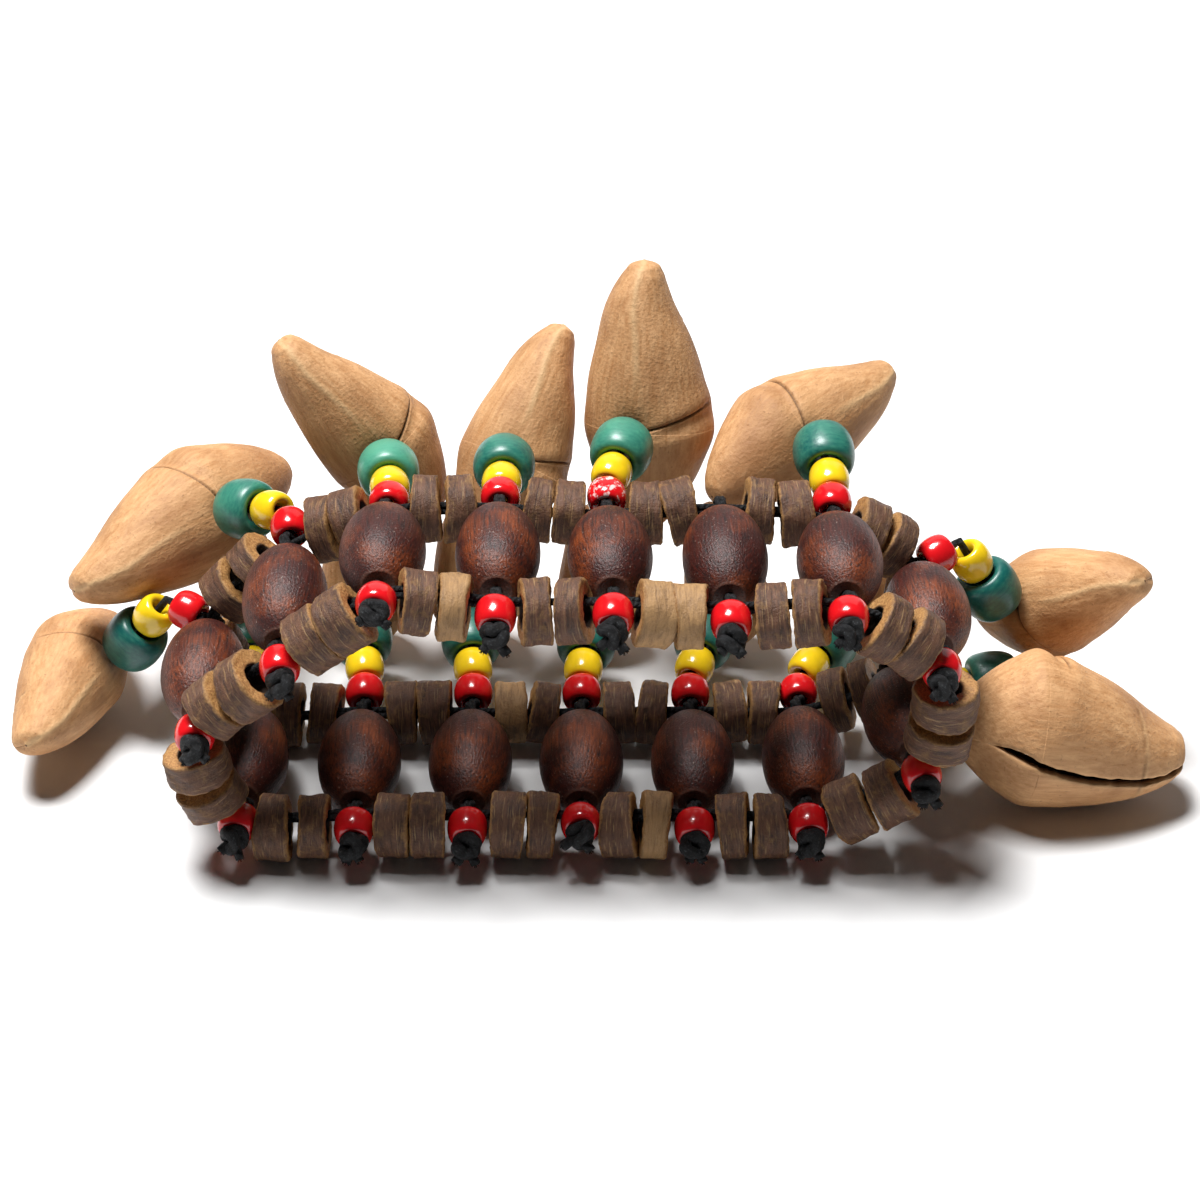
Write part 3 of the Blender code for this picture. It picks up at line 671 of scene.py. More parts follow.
def sleeve(rows, sides, closed):
    """Faces between rows of points that each close round. Where closed, the last row joins the first."""
    faces = []
    for row in range(rows if closed else rows - 1):
        after = (row + 1) % rows
        for side in range(sides):
            beside = (side + 1) % sides
            corners = ((row, side), (row, beside), (after, beside), (after, side))
            faces.append(tuple(along * sides + around for along, around in corners))
    return faces


def add_tube(mould, path, radius, sides=10, closed=False, roughness=0.0, seed=0):
    """Adds a cord along a path, round or a little lumpy, with its ends closed."""
    path = np.array([tuple(point) for point in path])
    count = len(path)
    if closed:
        slopes = np.roll(path, -1, 0) - np.roll(path, 1, 0)
    else:
        slopes = np.gradient(path, axis=0)
    slopes /= np.linalg.norm(slopes, axis=1)[:, None]
    steps = np.linalg.norm(np.diff(path, axis=0), axis=1)
    runs = np.concatenate(([0.0], np.cumsum(steps)))
    normal = np.cross(slopes[0], UNUSED_WAY)
    points, place = [], []
    for index in range(count):
        normal = normal - slopes[index] * normal.dot(slopes[index])
        normal /= np.linalg.norm(normal)
        side_way = np.cross(slopes[index], normal)
        for side in range(sides):
            angle = 2 * math.pi * side / sides
            flat = (math.cos(angle) * radius / MM, math.sin(angle) * radius / MM, runs[index] / MM)
            swell = 1.0
            if roughness:
                spot = Vector(path[index]) / MM * LUMPS_ALONG + Vector(flat) * LUMPS_AROUND
                swell += roughness * noise.noise(spot + Vector((seed, 0, 0)))
            reach = normal * math.cos(angle) + side_way * math.sin(angle)
            points.append(path[index] + reach * radius * swell)
            place.append(flat)
    faces = sleeve(count, sides, closed)
    if not closed:
        faces.append(tuple(reversed(range(sides))))
        faces.append(tuple(range((count - 1) * sides, count * sides)))
    mould.add(points, faces, place)


def straight(start, end, steps):
    """Evenly spaced points from one point to another."""
    return [start.lerp(end, step / steps) for step in range(steps + 1)]


def add_loop(mould, point, along):
    """Adds two turns of cord round an elastic, side by side."""
    band = bpy.context.scene.bracelet_band
    place = frame_at(point, along, BACK)
    radius = band.elastic_room + band.cord * LOOP_MIDDLE
    turns, steps = 2, 48
    path = []
    for step in range(steps + 1):
        angle = 2 * math.pi * turns * step / steps
        across = (step / steps - 0.5) * band.cord
        path.append(place @ Vector((math.cos(angle) * radius, math.sin(angle) * radius, across)))
    add_tube(mould, path, band.cord / 2, sides=8, roughness=0.10, seed=7)


def add_knot(mould, place, size, tall, cord, seed):
    """Adds a tight lumpy knot about a place's origin, along its Z: two turns of cord, drawn into one."""
    reach = (size - cord) / 2
    squash, sway, steps = 0.92, 0.22, 28
    for tilt, lift in ((8.0, -0.16), (64.0, 0.14)):
        turned = place @ Matrix.Rotation(math.radians(tilt), 4, "X")
        path = []
        for step in range(steps):
            turn = 2 * math.pi * step / steps
            rise = lift * tall + sway * cord * math.sin(2 * turn)
            path.append(turned @ Vector((math.cos(turn) * reach, math.sin(turn) * reach * squash, rise)))
        add_tube(mould, path, cord / 2, sides=12, closed=True, roughness=0.26, seed=seed + tilt)


def smooth(value, low, high):
    """Soft step from 0 to 1 between two values."""
    part = np.clip((value - low) / (high - low), 0.0, 1.0)
    return part * part * (3 - 2 * part)


def eased(at, knots, values):
    """Smooth curve through values at knots, read at some places."""
    slopes = np.gradient(values, knots)
    index = np.clip(np.searchsorted(knots, at) - 1, 0, len(knots) - 2)
    step = knots[index + 1] - knots[index]
    part = (at - knots[index]) / step
    squared, cubed = part**2, part**3
    curve = values[index] * (2 * cubed - 3 * squared + 1) + values[index + 1] * (3 * squared - 2 * cubed)
    bend = slopes[index] * (cubed - 2 * squared + part) + slopes[index + 1] * (cubed - squared)
    return curve + step * bend


def baked(name, spots, tree, values):
    """Runs a node tree over spots, and keeps the result as a plain mesh."""
    seeds = bpy.data.meshes.new(name + "_seeds")
    seeds.from_pydata([tuple(spot.place.translation) for spot in spots], [], [])
    for label, kind, field, data in (
        ("turn", "FLOAT_VECTOR", "vector", [tuple(spot.place.to_euler()) for spot in spots]),
        ("stretch", "FLOAT_VECTOR", "vector", [spot.stretch for spot in spots]),
        ("kind", "FLOAT", "value", [spot.kind for spot in spots]),
        ("tone", "FLOAT", "value", [spot.tone for spot in spots]),
    ):
        plain = np.ravel(data).astype(np.float32)
        seeds.attributes.new(label, kind, "POINT").data.foreach_set(field, plain)
    source = bpy.data.objects.new(name + "_seeds", seeds)
    bpy.context.scene.collection.objects.link(source)
    modifier = source.modifiers.new("rule", "NODES")
    modifier.node_group = tree
    for item in tree.interface.items_tree:
        if item.in_out == "INPUT" and item.name in values:
            modifier[item.identifier] = values[item.name]
    graph = bpy.context.evaluated_depsgraph_get()
    mesh = bpy.data.meshes.new_from_object(source.evaluated_get(graph), depsgraph=graph)
    mesh.name = name
    bpy.data.objects.remove(source)
    bpy.data.meshes.remove(seeds)
    made = bpy.data.objects.new(name, mesh)
    bpy.context.scene.collection.objects.link(made)
    if not mesh.polygons:
        raise RuntimeError(f"{name} came out empty")
    return made


def open_tree(name, inputs):
    """New geometry tree with named inputs, the function that adds nodes to it, and the inputs' sockets."""
    tree = bpy.data.node_groups.new(name, "GeometryNodeTree")
    tree.interface.new_socket("Geometry", in_out="INPUT", socket_type="NodeSocketGeometry")
    for label, kind in inputs:
        tree.interface.new_socket(label, in_out="INPUT", socket_type=kind)
    tree.interface.new_socket("Geometry", in_out="OUTPUT", socket_type="NodeSocketGeometry")
    return tree, partial(node, tree), node(tree, "NodeGroupInput")


def middle_and_wall(add, outer, bore, wall_share):
    """Adds nodes for the radius at the middle of a ring's wall, and for a share of outside less bore."""
    sizes = []
    for operation, share_of in (("ADD", 0.25), ("SUBTRACT", wall_share)):
        size = add("ShaderNodeMath", {0: outer, 1: bore}, operation=operation)[0]
        sizes.append(add("ShaderNodeMath", {0: size, 1: share_of}, operation="MULTIPLY")[0])
    return sizes


def with_place(add, shape):
    """Adds nodes that store a shape's own coordinates, in millimetres."""
    position = add("GeometryNodeInputPosition")[0]
    scaled = add("ShaderNodeVectorMath", {0: position, "Scale": 1 / MM}, operation="SCALE")[0]
    stored = {"Geometry": shape, "Name": "place", "Value": scaled}
    return add("GeometryNodeStoreNamedAttribute", stored, data_type="FLOAT_VECTOR")[0]


def placed(add, points, shape, chosen=True):
    """Adds nodes that set a shape on points, turned and stretched by their attributes, and make it real."""
    turn, stretch = (
        add("GeometryNodeInputNamedAttribute", {"Name": name}, data_type="FLOAT_VECTOR")[0]
        for name in ("turn", "stretch")
    )
    way = add("FunctionNodeEulerToRotation", {0: turn})[0]
    copies = {"Points": points, "Instance": shape, "Rotation": way, "Scale": stretch, "Selection": chosen}
    copies = add("GeometryNodeInstanceOnPoints", copies)[0]
    return add("GeometryNodeRealizeInstances", {"Geometry": copies})[0]


def roughened(add, shape, depth, scale, detail):
    """Adds nodes that push a surface in and out by noise, differently on each tone."""
    place = add("GeometryNodeInputNamedAttribute", {"Name": "place"}, data_type="FLOAT_VECTOR")[0]
    tone = add("GeometryNodeInputNamedAttribute", {"Name": "tone"}, data_type="FLOAT")[0]
    own = own_pattern(add, place, tone, SURFACE_STRIDE)
    field = add("ShaderNodeTexNoise", {"Vector": own, "Scale": scale, "Detail": detail})[0]
    swing = add("ShaderNodeMath", {0: field, 1: STILL_NOISE}, operation="SUBTRACT")[0]
    reach = add("ShaderNodeMath", {0: swing, 1: depth}, operation="MULTIPLY")[0]
    normal = add("GeometryNodeInputNormal")[0]
    push = add("ShaderNodeVectorMath", {0: normal, "Scale": reach}, operation="SCALE")[0]
    return add("GeometryNodeSetPosition", {"Geometry": shape, "Offset": push})[0]


def surfaced(add, shape, finish):
    """Adds nodes that shade a shape smooth and give it its material."""
    soft = add("GeometryNodeSetShadeSmooth", {"Geometry": shape})[0]
    return add("GeometryNodeSetMaterial", {"Geometry": soft, "Material": finish})[0]


def ring_tree(name, broken):
    """Rule for coconut rings: a rounded oblong swept round, wedge-shaped, chipped and dented. A broken one
    lacks nearly a quarter of its round."""
    sizes = [(size, "NodeSocketFloat") for size in ("Diameter", "Bore", "Thickness", "Wear")]
    tree, add, given = open_tree(name, [*sizes, ("Material", "NodeSocketMaterial")])
    middle, wall = middle_and_wall(add, given["Diameter"], given["Bore"], wall_share=0.5)
    if broken:
        arc = {"Resolution": 56, "Radius": middle, "Sweep Angle": 1.55 * math.pi}
        circle = add("GeometryNodeCurveArc", arc)[0]
    else:
        circle = add("GeometryNodeCurvePrimitiveCircle", {"Resolution": 56, "Radius": middle})[0]
    oblong = {"Width": wall, "Height": given["Thickness"]}
    oblong = add("GeometryNodeCurvePrimitiveQuadrilateral", oblong)[0]
    soft = {"Curve": oblong, "Count": 3, "Radius": RING_EDGE}
    soft = add("GeometryNodeFilletCurve", soft, mode="POLY")[0]
    fine = add("GeometryNodeResampleCurve", {"Curve": soft, "Count": 34})[0]
    ring = {"Curve": circle, "Profile Curve": fine, "Fill Caps": broken}
    ring = with_place(add, add("GeometryNodeCurveToMesh", ring)[0])
    x, _, z = add("ShaderNodeSeparateXYZ", {0: add("GeometryNodeInputPosition")[0]})
    lean = add("ShaderNodeMath", {0: x, 1: z}, operation="MULTIPLY")[0]
    lean = add("ShaderNodeMath", {0: lean, 1: RING_WEDGE}, operation="MULTIPLY")[0]
    wedge = add("ShaderNodeCombineXYZ", {2: lean})[0]
    ring = add("GeometryNodeSetPosition", {"Geometry": ring, "Offset": wedge})[0]
    rings = placed(add, given["Geometry"], ring)
    # Dents are about 3 mm across, and chips about 0.8 mm and less than half as deep.
    rings = roughened(add, rings, given["Wear"], scale=0.32, detail=2.0)
    finer = add("ShaderNodeMath", {0: given["Wear"], 1: 0.45}, operation="MULTIPLY")[0]
    rings = roughened(add, rings, finer, scale=1.3, detail=3.0)
    add("NodeGroupOutput", {0: surfaced(add, rings, given["Material"])})
    return tree


def bead_tree():
    """Rule for small beads: a full oval section swept round the bore, one size and finish for each kind."""
    sockets = []
    for kind in BEAD_FINISHES:
        sockets += [(f"{kind} {size}", "NodeSocketFloat") for size in BEAD_SIZES]
        sockets.append((f"{kind} Material", "NodeSocketMaterial"))
    tree, add, given = open_tree("small_beads", sockets)
    sort = add("GeometryNodeInputNamedAttribute", {"Name": "kind"}, data_type="FLOAT")[0]
    dressed_kinds = []
    for number, kind in enumerate(BEAD_FINISHES):
        outer, bore = given[f"{kind} Diameter"], given[f"{kind} Bore"]
        middle, wall = middle_and_wall(add, outer, bore, wall_share=0.25)
        half = add("ShaderNodeMath", {0: given[f"{kind} Length"], 1: 0.5}, operation="MULTIPLY")[0]
        section = add("GeometryNodeCurvePrimitiveCircle", {"Resolution": 28, "Radius": 1.0})[0]
        split = add("ShaderNodeSeparateXYZ", {0: add("GeometryNodeInputPosition")[0]})
        full = []
        for axis, size in ((0, wall), (1, half)):
            away = add("ShaderNodeMath", {0: split[axis]}, operation="ABSOLUTE")[0]
            away = add("ShaderNodeMath", {0: away, 1: BEAD_FULLNESS}, operation="POWER")[0]
            side = add("ShaderNodeMath", {0: split[axis]}, operation="SIGN")[0]
            away = add("ShaderNodeMath", {0: away, 1: side}, operation="MULTIPLY")[0]
            full.append(add("ShaderNodeMath", {0: away, 1: size}, operation="MULTIPLY")[0])
        spot = add("ShaderNodeCombineXYZ", {0: full[0], 1: full[1]})[0]
        section = add("GeometryNodeSetPosition", {"Geometry": section, "Position": spot})[0]
        circle = add("GeometryNodeCurvePrimitiveCircle", {"Resolution": 44, "Radius": middle})[0]
        bead = add("GeometryNodeCurveToMesh", {"Curve": circle, "Profile Curve": section})[0]
        chosen = add("ShaderNodeMath", {0: sort, 1: float(number), 2: 0.1}, operation="COMPARE")[0]
        beads = placed(add, given["Geometry"], with_place(add, bead), chosen)
        beads = roughened(add, beads, BEAD_UNEVEN, scale=0.3, detail=1.0)
        dressed_kinds.append(surfaced(add, beads, given[f"{kind} Material"]))
    add("NodeGroupOutput", {0: add("GeometryNodeJoinGeometry", {0: dressed_kinds})[0]})
    return tree


def bake_beads(name, spots):
    """Small beads on their spots."""
    drops = bpy.context.scene.bracelet_drops
    tree = bpy.data.node_groups.get("small_beads") or bead_tree()
    values = {}
    for kind, finish in BEAD_FINISHES.items():
        for size in BEAD_SIZES:
            values[f"{kind} {size}"] = getattr(drops, f"{kind}_{size}".lower())
        values[f"{kind} Material"] = material(finish)
    return baked(name, spots, tree, values)


class BRACELET_OT_elastics(bpy.types.Operator):
    """Two elastic cords side by side along each edge of the band"""

    bl_idname = "bracelet.elastics"
    bl_label = "Elastics"

    def execute(self, context):
        band = context.scene.bracelet_band
        span_steps, twists, apart = 12, 3, 0.46
        for edge, points in zip(("front", "rear"), crossings()):
            mould = Mould()
            steps = len(points) * span_steps
            for half_turn in (0.0, math.pi):
                path = []
                for step in range(steps):
                    point, along = route_point(points, step / span_steps)
                    up = square_to(Vector((0.0, 0.4, 1.0)), along)
                    turn = half_turn + 2 * math.pi * twists * step / steps
                    offset = up * math.cos(turn) + along.cross(up) * math.sin(turn)
                    path.append(point + offset * band.elastic * apart)
                add_tube(mould, path, band.elastic / 2, sides=8, closed=True)
            cords = mould.cast(f"{edge}_elastic_cords", "black_covered_elastic")
            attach(cords, "band")
        return {"FINISHED"}


class BRACELET_OT_coconut_rings(bpy.types.Operator):
    """Coconut-shell rings, two between each pair of strands on each elastic"""

    bl_idname = "bracelet.coconut_rings"
    bl_label = "Coconut rings"

    def execute(self, context):
        band = context.scene.bracelet_band
        circles, arcs = ring_tree("coconut_rings", False), ring_tree("broken_rings", True)
        values = {
            "Diameter": band.ring_diameter,
            "Bore": band.ring_bore,
            "Thickness": band.ring_thickness,
            "Wear": band.ring_wear,
            "Material": material("sawn_coconut_shell"),
        }
        # The rings of an edge hang outwards by 1.5 for each part that they hang down.
        edges = (("front", -1.5, FRONT_RING_SEED), ("rear", 1.5, REAR_RING_SEED))
        for (edge, hang_out, seed), points in zip(edges, crossings()):
            whole, broken = self.spots(context, edge, hang_out, seed, points)
            for label, rings, tree in (("", whole, circles), ("_broken", broken, arcs)):
                if not rings:
                    continue
                made = baked(f"{edge}_coconut_rings{label}", rings, tree, values)
                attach(made, "band")
                if not label:
                    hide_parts(f"{edge}_elastic")
        return {"FINISHED"}

    def spots(self, context, edge, hang_out, seed, points):
        """Spots of an edge's whole rings, and of its broken ones. Yaw and splay are in degrees."""
        band, drops = context.scene.bracelet_band, context.scene.bracelet_drops
        chance, own = random.Random(seed), random.Random(seed + 100)
        pitch = band.ring_thickness + band.ring_gap
        whole, broken = [], []
        for station, point in enumerate(points):
            span = (points[(station + 1) % len(points)] - point).length
            fit = min(1.0, ((span - drops.red_diameter) / 2 - band.ring_gap) / pitch)
            step = pitch * fit / 2 / span
            lean = math.radians(chance.uniform(-4.0, 4.0))
            pair_yaw, splay = own.uniform(-4, 4), own.uniform(0, 8)
            apart = 1 + RING_PARTING * splay
            for side in (-1, 1):
                spot, along = route_point(points, station + 0.5 + side * step * apart)
                hang = square_to(Vector((0.0, hang_out, -1.0)), along)
                tilt = Matrix.Rotation(lean + math.radians(own.uniform(-4, 4)), 3, hang.cross(along))
                open_way = side * splay if hang_out < 0 else -side * splay
                yaw = Matrix.Rotation(math.radians(pair_yaw + open_way), 3, hang)
                place = frame_at(spot + hang * band.ring_hang, yaw @ tilt @ along, hang)
                ring = (edge, station + 1, side)
                spin = BROKEN_SPIN if ring == BROKEN_RING else own.uniform(0.0, 2 * math.pi)
                size, thick = own.uniform(0.95, 1.01), own.uniform(0.93, 1.03) * fit
                tone = own.uniform(0.0, 0.7)
                if ring in PALE_RINGS:
                    tone = own.uniform(0.92, 1.0)
                chosen = broken if ring == BROKEN_RING else whole
                chosen.append(Spot(place @ Matrix.Rotation(spin, 4, "Z"), tone, (size, size, thick)))
        return whole, broken


class BRACELET_OT_strand_ties(bpy.types.Operator):
    """Waxed cords through the oval beads, their loops, and the red bead and knot at each front end"""

    bl_idname = "bracelet.strand_ties"
    bl_label = "Strand ties"

    def execute(self, context):
        band, drops = context.scene.bracelet_band, context.scene.bracelet_drops
        front, rear = crossings()
        mould = Mould()
        chance = random.Random(TIE_SEED)
        spots = []
        seat = loop_seat()
        into_knot = band.knot_length * KNOT_SEAT
        for index, lay in enumerate(LAYS):
            front_along, rear_along = route_point(front, index)[1], route_point(rear, index)[1]
            along = (rear[index] - front[index]).normalized()
            add_loop(mould, front[index], front_along)
            if not lay.nut:
                add_loop(mould, rear[index], rear_along)
            gap = band.elastic_room + band.cord + band.clearance if lay.nut else seat
            run = straight(front[index] + along * seat, rear[index] - along * gap, 12)
            add_tube(mould, run, band.cord / 2)
            turn = math.degrees(math.atan2(along.x, along.y))
            end_way = square_to(heading(180.0 + turn, -lay.droop), front_along)
            bead = front[index] + end_way * (seat + drops.red_length / 2 - drops.red_tuck)
            spots.append(Spot(frame_at(bead, end_way, front_along), chance.random(), kind=RED))
            knot = front[index] + end_way * (seat + drops.red_length - drops.red_tuck + into_knot)
            add_tube(mould, straight(front[index] + end_way * seat, knot, 8), band.cord / 2)
            spin = Matrix.Rotation(chance.uniform(0, 6.28), 4, "Z")
            place = frame_at(knot, end_way, UP) @ spin
            add_knot(mould, place, band.knot * KNOT_SWELL, band.knot_length, band.knot_cord, index)
            for side in (-1, 1):
                self.add_tail(mould, chance, knot, end_way, side, index)
        ties = mould.cast("strand_ties", "black_waxed_cord")
        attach(ties, "band")
        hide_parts(*(f"cross_strand_{number:02d}" for number in range(1, len(LAYS) + 1)))
        beads = bake_beads("front_red_beads", spots)
        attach(beads, "band")
        return {"FINISHED"}

    def add_tail(self, mould, chance, knot, end_way, side, index):
        """Adds a loose end of cord that leaves a knot to one side, with frayed hairs at its tip."""
        radius = bpy.context.scene.bracelet_band.knot_cord * 0.40
        # It leans on along the strand, out to its side and down.
        way = end_way * 0.6 + Vector((side * chance.uniform(0.3, 1.0), 0.0, -chance.uniform(0.3, 0.9)))
        way.normalize()
        tail = chance.uniform(*TAIL_LENGTHS)
        steps = 5
        path = [knot + way * tail * step / steps for step in range(steps + 1)]
        add_tube(mould, path, radius, sides=10, roughness=0.35, seed=index + 40 * side)
        for _ in range(HAIRS):
            hair = (way + Vector([chance.uniform(-0.9, 0.9) for _ in range(3)])).normalized()
            root = path[-1] - way * HAIR_ROOT
            add_tube(mould, [root + hair * HAIR_STEP * step for step in range(4)], HAIR_RADIUS, sides=3)


class BRACELET_OT_oval_beads(bpy.types.Operator):
    """Turned oval beads, one on each strand"""

    bl_idname = "bracelet.oval_beads"
    bl_label = "Oval beads"

    def execute(self, context):
        band = context.scene.bracelet_band
        bore = band.cord / 2 + band.clearance
        profile = self.profile(band, bore)
        sides = 56
        faces = sleeve(len(profile), sides, True)
        front, rear = crossings()
        for index in range(len(LAYS)):
            chance = random.Random(OVAL_SEED + index)
            middle = (front[index] + rear[index]) / 2
            place = frame_at(middle, rear[index] - front[index], UP)
            slim = chance.uniform(0.950, 0.970)
            points, own = [], []
            for radius, height in profile:
                for side in range(sides):
                    angle = 2 * math.pi * side / sides
                    spot = Vector((radius * math.cos(angle), radius * math.sin(angle), height))
                    # Dents are about 5 mm across, and leave the bore round.
                    dent = noise.noise(spot / MM * 0.22 + Vector((index * 7.3, 0, 0)))
                    reach = slim + (OVAL_DENT * dent if radius > bore * 1.2 else 0.0)
                    points.append(place @ Vector((spot.x * reach, spot.y * reach, spot.z)))
                    own.append(spot / MM)
            mould = Mould()
            mould.add(points, faces, own, chance.random())
            number = index + 1
            bead = mould.cast(f"turned_oval_{number:02d}", "stained_varnished_wood")
            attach(bead, f"oval_{number:02d}")
            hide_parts(f"oval_bead_{number:02d}")
        return {"FINISHED"}

    def profile(self, band, bore):
        """Radius and height of a bead's section, from the bore round one end, the belly and the other end."""
        half, belly, end = band.oval_length / 2, band.oval_diameter / 2, band.oval_end / 2
        lip, steps = 0.00018, 22
        widest = math.acos(end / belly)
        angles = [widest * (step / steps - 1) for step in range(2 * steps + 1)]
        curve = [(belly * math.cos(a), (half - lip) * math.sin(a) / math.sin(widest)) for a in angles]
        near = [(bore, -half), (bore + lip, -half), (end - 1.3 * lip, -half), (end - lip, -half)]
        return near + curve + [(radius, -height) for radius, height in reversed(near)]


class BRACELET_OT_bead_drops(bpy.types.Operator):
    """Red, yellow and green beads on the cord that carries each nutshell"""

    bl_idname = "bracelet.bead_drops"
    bl_label = "Bead drops"

    def execute(self, context):
        band, drops, nuts = (getattr(context.scene, f"bracelet_{g}") for g in ("band", "drops", "nuts"))
        rear = crossings()[1]
        chance = random.Random(DROP_SEED)
        for index, lay in enumerate(LAYS):
            if not lay.nut:
                continue
            number = index + 1
            rear_along = route_point(rear, index)[1]
            way, into, out, start, turn, last, tie = drop_places(rear[index], lay, rear_along)
            red_tone = CHIPPED_TONE if number == CHIPPED_DROP else chance.random()
            red = start + out * drops.red_length / 2
            yellow = last - way * (drops.green_length + drops.yellow_length / 2)
            green = last - way * drops.green_length / 2
            spots = [
                Spot(frame_at(red, out, rear_along), red_tone, kind=RED),
                Spot(frame_at(yellow, way, rear_along), chance.random(), kind=YELLOW),
                Spot(frame_at(green, way, rear_along), lay.green, kind=GREEN),
            ]
            beads = bake_beads(f"drop_beads_{number:02d}", spots)
            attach(beads, f"drop_{number:02d}")
            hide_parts(f"bead_drop_{number:02d}")
            mould = Mould()
            add_loop(mould, rear[index], rear_along)
            inside = tie + into * nuts.stop_slack
            stops = [start, turn, last, inside]
            path = []
            for first, second in zip(stops, stops[1:]):
                path += straight(first, second, 8)[:-1]
            add_tube(mould, path + [inside], band.cord / 2)
            place = frame_at(inside + into * STOP_LEAD, into, UP)
            add_knot(mould, place, STOP_KNOT, STOP_TALL, band.cord, number)
            cord = mould.cast(f"drop_cord_{number:02d}", "black_waxed_cord")
            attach(cord, f"drop_{number:02d}")
        return {"FINISHED"}


def bell(value, width):
    """One where a value is nought, fading away within about two widths of it."""
    return np.exp(-((value / width) ** 2))


def nut_sections(nuts, nut):
    """Heights of a nutshell's sections in millimetres, closest about the crease, and the place of each from
    -1 at the base to 1 at the beak."""
    base = nuts.base * nut.share * nut.base / MM - BLUNT
    beak = nuts.beak * nut.share / MM - BLUNT
    lower = -np.cos(np.linspace(0, math.pi / 2, 36)) * base
    upper = np.sin(np.linspace(0, math.pi / 2, 64)) * beak
    heights = np.unique(np.concatenate((lower, upper, np.linspace(-1.5, 3.0, 44))))
    return heights, np.where(heights < 0, heights / base, heights / beak)


def nut_mouth(nut, number, heights, along, half_wide):
    """How far the mouth is open at each section: as a share of its gape, and as an angle to each side."""
    # A wide mouth starts nearer the base and stays open at the beak, where a narrow one all but shuts.
    start = 0.3 - 1.5 * nut.gape
    shut = 0.92 if nut.gape < 0.5 else 0.20
    open_share = smooth(along, start, start + 0.35) * (1.0 - shut * smooth(along, 0.72, 0.98))
    ripple = np.array([noise.noise(Vector((0.8 * height, 3.1 * number, 0.0))) for height in heights])
    gap = nut.gape * open_share * (1 + 0.5 * ripple) / np.maximum(half_wide, 0.3)
    return open_share, np.minimum(gap, 0.9)


def husk_roughness(x, y, level, number):
    """Broad swellings of about 6 mm, and fibres along the nut, in millimetres."""
    offset = Vector((number * 13.7, number * 5.1, 0.0))
    rough = np.zeros_like(x)
    for at in np.ndindex(x.shape):
        spot = Vector((x[at], y[at], level[at]))
        broad = noise.noise(spot * 0.16 + offset)
        fibres = noise.noise(Vector((spot.x * 1.1, spot.y * 1.1, spot.z * 0.16)) + offset)
        rough[at] = SWELL_HEIGHT * broad + FIBRE_HEIGHT * fibres
    return rough


def nut_faces(rows, columns):
    """Faces of an outer and an inner skin on like grids, joined along both lips and round both ends."""
    grid = np.arange(rows * columns).reshape(rows, columns)
    skin = np.stack((grid[:-1, :-1], grid[:-1, 1:], grid[1:, 1:], grid[1:, :-1]), -1).reshape(-1, 4)
    faces = [skin, skin[:, ::-1] + grid.size]
    for edge, flip in ((grid[:, 0], False), (grid[:, -1], True), (grid[0], True), (grid[-1], False)):
        strip = np.stack((edge[:-1], edge[1:], edge[1:] + grid.size, edge[:-1] + grid.size), -1)
        faces.append(strip[:, ::-1] if flip else strip)
    return np.concatenate(faces).tolist()


